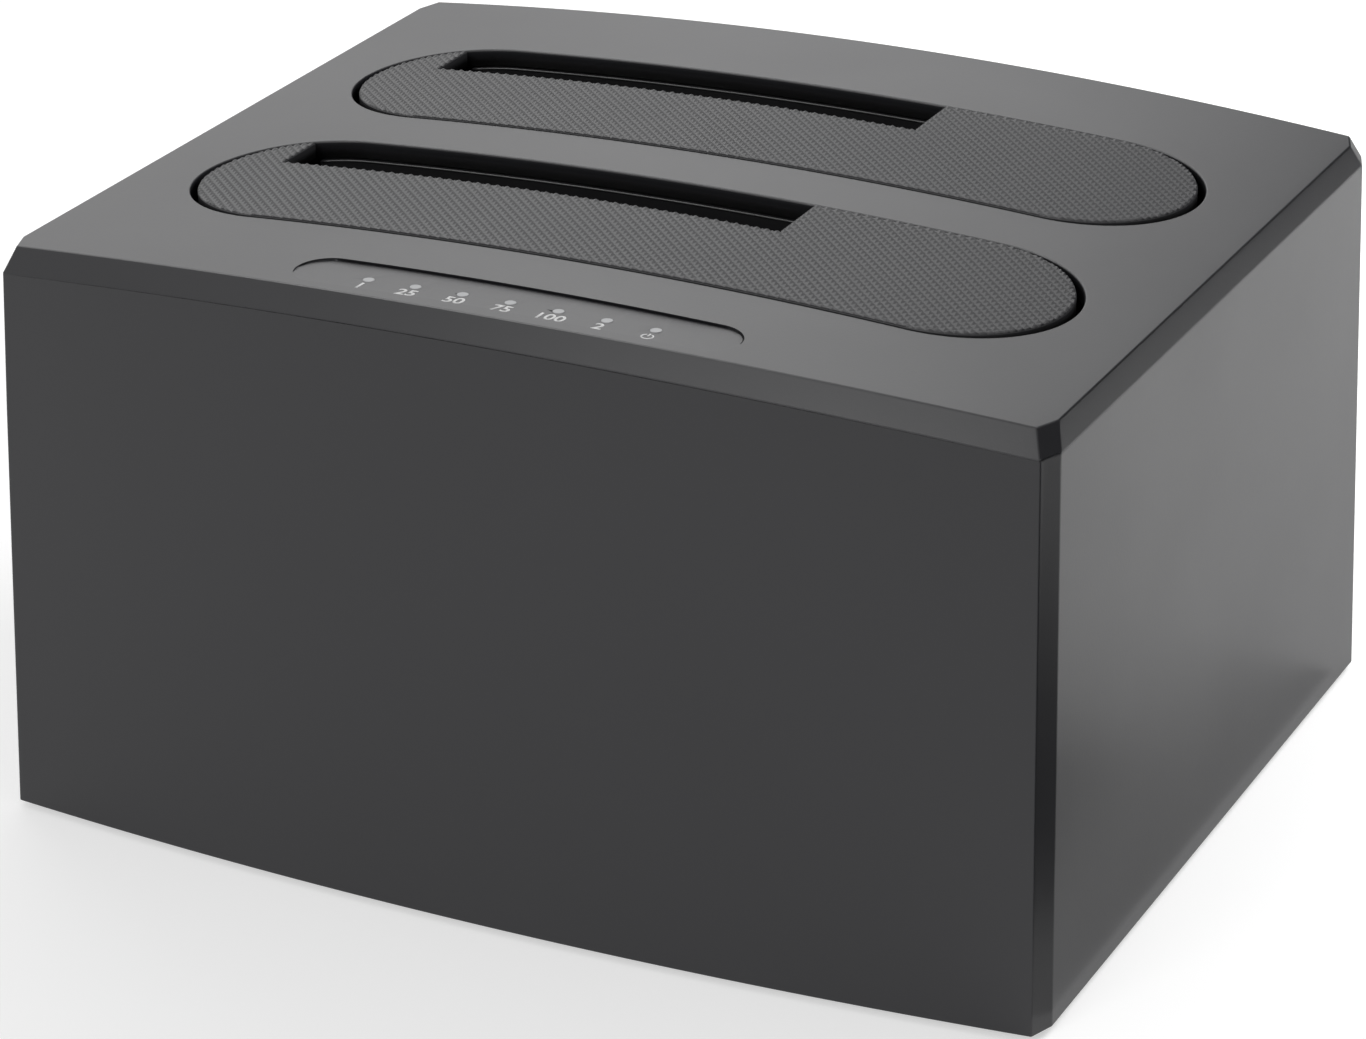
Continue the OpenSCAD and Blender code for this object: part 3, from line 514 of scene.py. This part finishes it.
def make_housing():
    piece = case_block("housing", 0, TOP_Z, BASE_Z)
    height = TOP_Z - BASE_Z
    side_top = HALF_W - SIDE_DRAFT * (height - CHAMFER_DOWN) / height
    front_top = FRONT_Y + FRONT_DRAFT * (height - CHAMFER_DOWN) / CASE_H
    rear_top = REAR_Y - REAR_DRAFT * (height - CHAMFER_DOWN) / CASE_H
    shoulder = TOP_Z - CHAMFER_DOWN
    edge_x = HALF_W - SIDE_DRAFT - SIDE_IN
    edge_front = FRONT_Y + FRONT_DRAFT * height / CASE_H + END_IN
    edge_rear = REAR_Y - REAR_DRAFT * height / CASE_H - END_IN
    for side in (-1, 1):
        slice_off(piece, (side * side_top, 0, shoulder), (side * CHAMFER_DOWN, 0, side_top - edge_x))
        for end, line, draft in ((-1, FRONT_Y, FRONT_DRAFT), (1, REAR_Y, REAR_DRAFT)):
            length = math.hypot(CORNER_FRONT, CORNER_SIDE)
            lean = (SIDE_DRAFT * CORNER_SIDE + draft * CORNER_FRONT) / length
            slice_off(
                piece,
                (side * (HALF_W - CORNER_FRONT), line, BASE_Z),
                (side * CORNER_SIDE / length, end * CORNER_FRONT / length, lean / height),
            )
    slice_off(piece, (0, front_top, shoulder), (0, -CHAMFER_DOWN, edge_front - front_top))
    slice_off(piece, (0, rear_top, shoulder), (0, CHAMFER_DOWN, rear_top - edge_rear))
    # The chamfer runs round the upright corners too
    for side in (-1, 1):
        for end, edge in ((-1, edge_front), (1, edge_rear)):
            across = Vector((side * CORNER_SIDE, end * CORNER_FRONT, 0)).normalized()
            cut = (side * (edge_x - TOP_CORNER[0] / 2), edge - end * TOP_CORNER[1] / 2, TOP_Z)
            slice_off(piece, cut, across + Vector((0, 0, TOP_CORNER_LEAN)))
    bevel(piece, EDGE_R, 3)
    combine(piece, case_block("inside", WALL, TOP_Z - TOP_WALL, BASE_Z - 5))
    for y in BAY_YS.values():
        size = (OPENING[0] - RIM_IN, OPENING[1] - RIM_IN)
        combine(piece, rounded("opening", (0, y), size, size[1] / 2, (TOP_Z - 6, TOP_Z), RIM_R, 4, 24))
    pocket = rounded("pocket", (LIGHT_X[3], POCKET_Y), POCKET, POCKET[1] / 2, (TOP_Z - 1, TOP_Z + 1), fan=12)
    for point in pocket.data.vertices:
        if point.co.z < TOP_Z:
            point.co.z = pocket_floor(point.co.y)
    combine(piece, pocket)
    # A narrow groove along the rear of the pocket, which fades out round its ends
    ovals = []
    for less, reach in ((0.02, 1), (2 * GROOVE_W, 4)):
        size = (POCKET[0] - less, POCKET[1] - less)
        z = (TOP_Z - reach, TOP_Z + reach)
        ovals.append(rounded("groove", (LIGHT_X[3], POCKET_Y), size, size[1] / 2, z, fan=12))
    groove, core = ovals
    for point in groove.data.vertices:
        if point.co.z < TOP_Z:
            point.co.z = TOP_Z + 0.6 - 1.5 * ((point.co.y - POCKET_Y) / POCKET[1] + 0.5)
    # It leans back under the top, so that it shows dark
    for oval in ovals:
        for point in oval.data.vertices:
            point.co.y -= GROOVE_LEAN * (point.co.z - TOP_Z)
    combine(groove, core)
    combine(piece, groove)
    for x in LIGHT_X:
        hole = LIGHT_D + 0.04
        combine(piece, rounded("hole", (x, LIGHT_Y), (hole, hole), hole / 2, (TOP_Z - 4, TOP_Z + 2), fan=6))
    cut_rear(piece)
    strips(piece, -HALF_W, HALF_W, STRIP)
    edit(piece)
    pick(
        piece,
        "EDGE",
        lambda e: abs(middle(e).x - LIGHT_X[3]) < POCKET[0] / 2 + 0.1
        and abs(middle(e).y - POCKET_Y) < POCKET[1] / 2 + 0.1
        and e.calc_face_angle(0) > 0.01,
    )
    bpy.ops.mesh.mark_sharp()
    done()
    follow_case(piece)
    return finish(piece, "case", FINISH["case_plastic"], ["upper_housing"])


# Lids


def make_lid():
    """One lid about the middle of its opening: a plate covered to its edge with small pyramids."""
    low = TOP_Z + LID_PROUD - LID_T
    top = TOP_Z + LID_PROUD - KNURL_H
    notch = [(SLOT_X[0], SLOT_Y, 0), (SLOT_X[1], LID[1], 120)]
    plate = rounded("lid", (0, LID_Y), LID, LID[1] / 2, (low, top), fan=24)
    combine(plate, block("notch", *notch))
    bevel(plate, 0.1, 2, lambda e: middle(e).z > top - 1e-3)
    strips(plate, -62.5, 62.5, STRIP)
    # Knurl: square pyramids whose rows run at 45 degrees
    count = 108
    bpy.ops.object.select_all(action="DESELECT")
    bpy.ops.mesh.primitive_grid_add(x_subdivisions=count, y_subdivisions=count, size=count * KNURL_PITCH)
    field = bpy.context.object
    field.rotation_euler.z = math.pi / 4
    field.location = (0.137, 0.211, top + 0.03)
    bpy.ops.object.transform_apply(location=True, rotation=True, scale=True)
    edit(field)
    for axis in (0, 1):
        reach = LID[axis] / 2 + 1.5
        pick(field, "FACE", lambda face: abs(face.calc_center_median()[axis]) > reach)
        bpy.ops.mesh.delete(type="FACE")
    bpy.ops.mesh.select_all(action="SELECT")
    bpy.ops.mesh.poke(offset=KNURL_H - 0.03)
    bpy.ops.mesh.select_all(action="SELECT")
    bpy.ops.mesh.region_to_loop()
    bpy.ops.mesh.extrude_edges_move(TRANSFORM_OT_translate={"value": (0, 0, -1.2)})
    bpy.ops.mesh.edge_face_add()
    bpy.ops.mesh.select_all(action="SELECT")
    bpy.ops.mesh.normals_make_consistent(inside=False)
    done()
    rim = 0.08
    size = (LID[0] - 2 * rim, LID[1] - 2 * rim)
    trim = rounded("trim", (0, LID_Y), size, size[1] / 2, (top - 0.6, top + 0.36), fan=24)
    notch = [(SLOT_X[0] - rim, SLOT_Y - rim, 0), (SLOT_X[1] + rim, LID[1], 120)]
    combine(trim, block("notch", *notch))
    bevel(trim, 0.3, 2, lambda e: middle(e).z > top + 0.3)
    combine(field, trim, "INTERSECT")
    combine(plate, field, "UNION")
    follow_case(plate)
    add_knuckles(plate)
    edit(plate)
    bpy.ops.mesh.select_all(action="SELECT")
    bpy.ops.mesh.remove_doubles(threshold=2e-3)
    done()
    return plate


def add_knuckles(lid):
    """The two hinge knuckles under a lid, and the two feet that stop it against the top."""
    front = LID_Y - LID[1] / 2
    inner = 0.8 * KNUCKLE_R
    seat = TOP_Z - crown_drop(KNUCKLE_X) + LID_PROUD - LID_T / 2
    outline = [
        (HINGE_Y, HINGE_Z - inner),
        (front + 4.5, seat),
        (front + 0.5, seat),
        (front + 0.1, HINGE_Z + 0.9 * KNUCKLE_R),
        (HINGE_Y, HINGE_Z + inner),
    ]
    for side in (-1, 1):
        start = side * KNUCKLE_X - KNUCKLE_W / 2
        knuckle = prism("knuckle", [(start, y, z) for y, z in outline], (KNUCKLE_W, 0, 0))
        ends = [(start + shift, HINGE_Y, HINGE_Z) for shift in (0.02, KNUCKLE_W - 0.02)]
        combine(knuckle, round_bar("barrel", *ends, KNUCKLE_R), "UNION")
        ends = [(start + shift, HINGE_Y, HINGE_Z) for shift in (-1, KNUCKLE_W + 1)]
        combine(knuckle, round_bar("bore", *ends, PIN_R + 0.05))
        combine(lid, knuckle, "UNION")
        outer = OPENING[0] / 2 + 0.5
        stop = TOP_Z - crown_drop(outer) - TOP_WALL - 0.4
        root = outer - 7.5
        ys = (-OPENING[1] / 4 - 1, -OPENING[1] / 4 + 3)
        reach = sorted((side * root, side * outer))
        foot = block("foot", (reach[0], ys[0], stop - 1.4), (reach[1], ys[1], stop))
        bevel(foot, 0.25, 2)
        seat_low = TOP_Z - crown_drop(root + 2) + LID_PROUD - LID_T / 2
        reach = sorted((side * (root + 0.1), side * (root + 1.9)))
        post = block("post", (reach[0], ys[0] + 0.1, stop - 1), (reach[1], ys[1] - 0.1, seat_low))
        combine(foot, post, "UNION")
        combine(lid, foot, "UNION")


def make_lids():
    lid = make_lid()
    for bay, y in BAY_YS.items():
        only(lid)
        bpy.ops.object.duplicate()
        copy = bpy.context.object
        copy.name = copy.data.name = bay + "_lid"
        copy.location.y = y
        bpy.ops.object.transform_apply(location=True, rotation=True, scale=True)
        finish(copy, bay + "_flap", FINISH["lid_plastic"], [bay + "_flap"], 20)
    bpy.data.objects.remove(lid, do_unlink=True)


def make_springs():
    """The torsion springs on the hinge pins. One leg goes down the well and one turns with the lid."""
    radius, wire_r, curls, pitch, steps = 2.1, 0.35, 8, 1.3, 20
    begin = -curls * pitch / 2
    points = [(begin, -radius, -9.0), (begin, -radius, -4.0)]
    for i in range(curls * steps + steps // 4 + 1):
        turn = -math.pi / 2 + i * 2 * math.pi / steps
        points.append((begin + i * pitch / steps, radius * math.sin(turn), radius * math.cos(turn)))
    last = -begin + pitch / 4
    points += [(last, 4.0, radius + 0.1), (last, 11.0, 2.7)]
    # The last half curl goes with the lid's leg, so that the spring winds up along its own circle
    split = len(points) - 2 - steps // 2
    for bay, y in BAY_YS.items():
        path = [Vector((0, y + HINGE_Y, HINGE_Z)) + Vector(point) for point in points]
        coil = wire(bay + "_spring", path[: split + 1], wire_r)
        finish(coil, "case", FINISH["spring_steel"], [bay + "_flap_spring"], 50)
        leg = wire(bay + "_spring_leg", path[split:], wire_r)
        finish(leg, bay + "_flap", FINISH["spring_steel"], angle=50)


# Rear connectors, buttons and feet


def make_usb_shell():
    """The data socket: a folded shell with soft corners and a stepped mouth."""
    low, high = node_box("usb_shell")
    mid = (low.x + high.x) / 2
    shell = block("usb_socket", low, high)
    bevel(shell, 0.7, 4, lambda e: abs(along(e).y) > 0.9)
    outline = [(4.25, 1.3), (4.25, 7.3), (2.85, 8.9), (2.85, 11.4)]
    outline += [(-x, z) for x, z in reversed(outline)]
    combine(shell, prism("mouth", [(mid + x, high.y + 1, low.z + z) for x, z in outline], (0, -14, 0)))
    bevel(shell, 0.15, 2, lambda e: middle(e).y > high.y - 1e-3)
    finish(shell, "case", FINISH["shell_steel"], ["usb_shell"])


def make_dc_jack():
    """The power inlet: a block with soft edges and a round bore with a chamfered mouth."""
    low, high = node_box("dc_jack")
    pin = node_box("dc_jack_pin")
    x, z = (pin[0].x + pin[1].x) / 2, (pin[0].z + pin[1].z) / 2
    bore_r = 3.2
    jack = block("power_inlet", low, high)
    bevel(jack, 0.4, 3)
    combine(jack, round_bar("bore", (x, high.y - 10, z), (x, high.y + 1, z), bore_r, 48))

    def at_mouth(edge):
        point = middle(edge)
        return point.y > high.y - 1e-3 and math.hypot(point.x - x, point.z - z) < bore_r + 0.1

    bevel(jack, 0.3, 2, at_mouth)
    finish(jack, "case", FINISH["socket_plastic"], ["dc_jack"])


def make_buttons():
    """Two push buttons: a dished cap with soft edges, a flange behind the wall, and a stem."""
    for name in ("power_button", "copy_button"):
        low, high = node_box(name)
        mid = (low + high) / 2
        flange = node_box(name.replace("button", "switch"))[1].y + (2.0 if name == "power_button" else 1.6)
        rim = 0.9
        if name == "power_button":
            near = (low.x + rim, flange + 0.6, low.z + rim)
            cap = block(name + "_cap", near, (high.x - rim, high.y, high.z - rim))
            bevel(cap, 0.8, 5, lambda e: abs(along(e).y) > 0.9)
            plate = block("flange", (low.x, flange, low.z), (high.x, flange + 1.3, high.z))
        else:
            radius = (high.x - low.x) / 2
            cap = round_bar(name + "_cap", (mid.x, flange + 0.6, mid.z), (mid.x, high.y, mid.z), radius - rim)
            plate = round_bar("flange", (mid.x, flange, mid.z), (mid.x, flange + 1.3, mid.z), radius)
        edit(cap)
        pick(cap, "FACE", lambda face: face.normal.y > 0.9)
        bpy.ops.mesh.inset(thickness=0.4, depth=0)
        bpy.ops.mesh.inset(thickness=0.25, depth=-0.15)
        done()
        bevel(cap, 0.2, 5, lambda e: middle(e).y > high.y - 1e-3 and e.calc_face_angle(0) > 1.2)
        combine(cap, plate, "UNION")
        combine(cap, round_bar("stem", (mid.x, low.y, mid.z), (mid.x, flange + 0.5, mid.z), 1.5), "UNION")
        finish(cap, name, FINISH["button_plastic"], [name], 22)


def make_feet():
    """Four rubber feet with a soft edge and a shallow dish below."""
    low, high = node_box("rubber_feet")
    radius = 5.0
    feet = []
    for x in (low.x + radius, high.x - radius):
        for y in (low.y + radius, high.y - radius):
            feet.append(round_bar("foot", (x, y, low.z), (x, y, high.z), radius, 48))
            edit(feet[-1])
            pick(feet[-1], "FACE", lambda face: face.normal.z < -0.9)
            bpy.ops.mesh.inset(thickness=1.6, depth=0)
            bpy.ops.mesh.inset(thickness=0.3, depth=-0.3)
            done()
            bevel(
                feet[-1],
                0.4,
                4,
                lambda e: middle(e).z < low.z + 1e-3 and math.dist(middle(e).xy, (x, y)) > radius - 0.2,
            )
    bpy.ops.object.select_all(action="DESELECT")
    for foot in feet:
        foot.select_set(True)
    bpy.context.view_layer.objects.active = feet[0]
    bpy.ops.object.join()
    piece = bpy.context.object
    piece.name = piece.data.name = "feet"
    finish(piece, "case", FINISH["foot_rubber"], ["rubber_feet"])


# Lights and printed marks


def make_light_guide():
    """The clear moulding under the top, with a pin up to each hole."""
    low, high = node_box("light_guide")
    under = TOP_Z - crown_drop(high.x) - TOP_WALL - 0.3
    guide = block("light_pins", (low.x, low.y, under - 1.4), (high.x, high.y, under))
    bevel(guide, 0.3, 2)
    for x in LIGHT_X:
        top = pocket_floor(LIGHT_Y) - crown_drop(x) + 0.05
        pin = round_bar("pin", (x, LIGHT_Y, low.z), (x, LIGHT_Y, top), LIGHT_D / 2, 24)
        bevel(pin, 0.06, 2, lambda e: middle(e).z > top - 1e-3)
        combine(guide, pin, "UNION")
    finish(guide, "case", FINISH["light_guide_acrylic"], ["light_guide"])


def make_ledge_edges():
    """The rounded edge of the well's ledge, which shows as a fine line along the rear of each slot."""
    radius = OPENING[1] / 2 - 0.75
    middle_x = OPENING[0] / 2 - OPENING[1] / 2
    left = math.asin((-SLOT_X[0] - 0.6 - middle_x) / radius)
    turns = [left * i / 6 for i in range(6, 0, -1)]
    outline = [(-middle_x - radius * math.sin(turn), radius * math.cos(turn)) for turn in turns]
    outline += [(-middle_x + i * (SLOT_X[1] - 0.6 + middle_x) / 26, radius) for i in range(27)]
    for bay, y in BAY_YS.items():
        line = [(x, y + across, TOP_Z - crown_drop(x) - TOP_WALL - 0.3) for x, across in outline]
        piece = wire(bay + "_ledge_edge", line, 0.16)
        finish(piece, "case", FINISH["well_plastic"], angle=60)


def make_marks():
    """Plain numbers in front of the lights, and a power sign at the last."""
    marks = []
    for x, words in zip(LIGHT_X, ("1", "25", "50", "75", "100", "2")):
        bpy.ops.object.select_all(action="DESELECT")
        bpy.ops.object.text_add(location=(x, MARK_Y, 0))
        text = bpy.context.object
        text.data.body = words
        text.data.size = 2.8
        text.data.offset = 0.05
        text.data.align_x = "CENTER"
        text.data.align_y = "CENTER"
        text.data.extrude = 0.02
        bpy.ops.object.convert(target="MESH")
        marks.append(bpy.context.object)
    # Power sign: an open ring with a bar in its gap
    ring = rounded("ring", (LIGHT_X[6], MARK_Y), (1.7, 1.7), 0.85, (-0.02, 0.02), fan=8)
    combine(ring, rounded("bore", (LIGHT_X[6], MARK_Y), (1.24, 1.24), 0.62, (-1, 1), fan=8))
    combine(ring, block("gap", (LIGHT_X[6] - 0.32, MARK_Y, -1), (LIGHT_X[6] + 0.32, MARK_Y + 2, 1)))
    marks.append(ring)
    near = (LIGHT_X[6] - 0.12, MARK_Y + 0.1, -0.02)
    marks.append(block("bar", near, (LIGHT_X[6] + 0.12, MARK_Y + 1.0, 0.02)))
    bpy.ops.object.select_all(action="DESELECT")
    for mark in marks:
        mark.select_set(True)
    bpy.context.view_layer.objects.active = marks[0]
    bpy.ops.object.join()
    piece = bpy.context.object
    piece.name = piece.data.name = "light_numbers"
    bpy.ops.object.transform_apply(location=True, rotation=True, scale=True)
    edit(piece)
    bpy.ops.mesh.select_all(action="SELECT")
    bpy.ops.mesh.remove_doubles(threshold=1e-4)
    done()
    for point in piece.data.vertices:
        point.co.z += pocket_floor(point.co.y)
    follow_case(piece)
    return finish(piece, "case", INK)


make_springs()
make_ledge_edges()
make_light_guide()
make_usb_shell()
make_dc_jack()
make_buttons()
make_feet()
make_housing()
make_lids()
make_marks()


# Stage: a pale floor that shows white and keeps the shadow, soft lights, and the photo's viewing angle

bpy.ops.object.select_all(action="DESELECT")
bpy.ops.mesh.primitive_plane_add(size=6)
floor = bpy.context.object
floor.name = "floor"
paint = bpy.data.materials.new("studio_floor")
paint.use_nodes = True
tree = paint.node_tree
tree.nodes.clear()
seen = add(tree, "ShaderNodeLightPath")
shown = add(
    tree,
    "ShaderNodeMath",
    {0: seen.outputs["Is Camera Ray"], 1: seen.outputs["Is Glossy Ray"]},
    operation="MAXIMUM",
)
shown = add(
    tree, "ShaderNodeMath", {0: shown.outputs[0], 1: seen.outputs["Is Transmission Ray"]}, operation="MAXIMUM"
)
glow = add(tree, "ShaderNodeMath", {0: shown.outputs[0], 1: 0.5}, operation="MULTIPLY")
white = add(tree, "ShaderNodeEmission", {"Color": linear("#ffffff"), "Strength": glow.outputs[0]})
matt = add(tree, "ShaderNodeBsdfDiffuse", {"Color": linear("#d0d0d0")})
both = add(tree, "ShaderNodeAddShader", {0: white.outputs[0], 1: matt.outputs[0]})
add(tree, "ShaderNodeOutputMaterial", {"Surface": both.outputs[0]})
floor.data.materials.append(paint)

world = bpy.data.worlds.new("studio")
bpy.context.scene.world = world
world.use_nodes = True
tree = world.node_tree
tree.nodes.clear()
seen = add(tree, "ShaderNodeLightPath")
mirrored = add(
    tree,
    "ShaderNodeMath",
    {0: seen.outputs["Is Glossy Ray"], 1: seen.outputs["Is Transmission Ray"]},
    operation="MAXIMUM",
)
mirrored = add(tree, "ShaderNodeMath", {0: mirrored.outputs[0], 1: 0.5}, operation="MULTIPLY")
shown = add(
    tree, "ShaderNodeMath", {0: seen.outputs["Is Camera Ray"], 1: mirrored.outputs[0]}, operation="MAXIMUM"
)
level = add(tree, "ShaderNodeMapRange", {"Value": shown.outputs[0], "To Min": 0.5, "To Max": 1.0})
sky = add(tree, "ShaderNodeBackground", {"Color": linear("#ffffff"), "Strength": level.outputs[0]})
add(tree, "ShaderNodeOutputWorld", {"Surface": sky.outputs[0]})


def softbox(name, place, aim, size, watts, mirrored=True, diffuse=True):
    light = bpy.data.lights.new(name, "AREA")
    light.shape = "RECTANGLE"
    light.size, light.size_y = size
    light.energy = watts
    lamp = bpy.data.objects.new(name, light)
    bpy.context.scene.collection.objects.link(lamp)
    lamp.location = place
    lamp.rotation_euler = (Vector(aim) - Vector(place)).to_track_quat("-Z", "Y").to_euler()
    lamp.visible_camera = False
    lamp.visible_glossy = mirrored
    lamp.visible_diffuse = diffuse


softbox("back_left", (-0.78, 0.85, 0.95), (0, 0, 0.06), (0.9, 0.7), 2.3)
softbox("back_left_low", (-0.9, 1.2, 0.5), (0, 0, 0.06), (1.2, 0.5), 0.95)
softbox("back", (-0.42, 1.3, 0.85), (0, 0, 0.06), (0.6, 0.4), 0.9)
softbox("overhead", (-0.5, 0.0, 1.0), (0, 0, 0.06), (0.5, 0.5), 4.5, diffuse=False)
softbox("front", (-0.2, -1.25, 0.72), (0, 0, 0.05), (0.5, 0.4), 3.5)
softbox("back_right", (0.25, 0.42, 0.38), (0.22, 0.36, 0), (0.3, 0.3), 2.9, False)

# Cards at the right of the object, which only reflections show: painted reflections. The upright dark cards
# paint dark reflections into the right side, its chamfer and its corner. The dark card lying on the floor is
# painted shadow: the case's shadow on the floor, as these faces mirror it. The pale strip along the foot of
# the right side paints a light reflection there.
for place, turn, size, code in (
    ((0.34, 0.42, 0.26), (math.pi / 2, 0, -0.6), (1.0, 0.52, 1), "#161616"),
    ((0.42, 0.0, 0.2), (math.pi / 2, 0, math.pi / 2), (0.5, 0.4, 1), "#161616"),
    # Painted shadow: a dark card on the floor that puts the case's shadow into the reflections of the right
    # side and its corner
    ((0.27, -0.1, 0.002), (0, 0, 0), (0.34, 0.24, 1), "#161616"),
    # Painted reflection: a pale strip by the foot of the right side, shown only in its reflection
    ((0.086, -0.005, 0.0025), (0, 0, 0), (0.02, 0.115, 1), "#ececec"),
):
    bpy.ops.object.select_all(action="DESELECT")
    bpy.ops.mesh.primitive_plane_add(size=1, location=place, rotation=turn)
    card = bpy.context.object
    card.name = "reflected_card"
    card.scale = size
    card.visible_camera = card.visible_diffuse = card.visible_shadow = False
    paint = bpy.data.materials.new("painted_reflection_card")
    paint.use_nodes = True
    paint.node_tree.nodes.clear()
    matt = add(paint.node_tree, "ShaderNodeBsdfDiffuse", {"Color": linear(code)})
    add(paint.node_tree, "ShaderNodeOutputMaterial", {"Surface": matt.outputs[0]})
    card.data.materials.append(paint)

camera = bpy.data.objects.new("camera", bpy.data.cameras.new("camera"))
bpy.context.scene.collection.objects.link(camera)
YAW, PITCH, ROLL = 0.4575, 0.4194, -0.0071
FOCAL_PX, IMAGE_W = 4704.428, 1366
ahead = Vector((-math.sin(YAW) * math.cos(PITCH), math.cos(YAW) * math.cos(PITCH), -math.sin(PITCH)))
level_right = ahead.cross(Vector((0, 0, 1))).normalized()
level_up = level_right.cross(ahead)
right = level_right * math.cos(ROLL) + level_up * math.sin(ROLL)
up = level_up * math.cos(ROLL) - level_right * math.sin(ROLL)
turned = Matrix((right, up, -ahead)).transposed().to_4x4()
camera.matrix_world = Matrix.Translation((0.257, -0.52654, 0.29422)) @ turned
camera.data.sensor_fit = "HORIZONTAL"
camera.data.sensor_width = 36
camera.data.lens = 36 * FOCAL_PX / IMAGE_W
camera.data.clip_start = 0.01
bpy.context.scene.camera = camera
bpy.context.scene.view_settings.view_transform = "Standard"
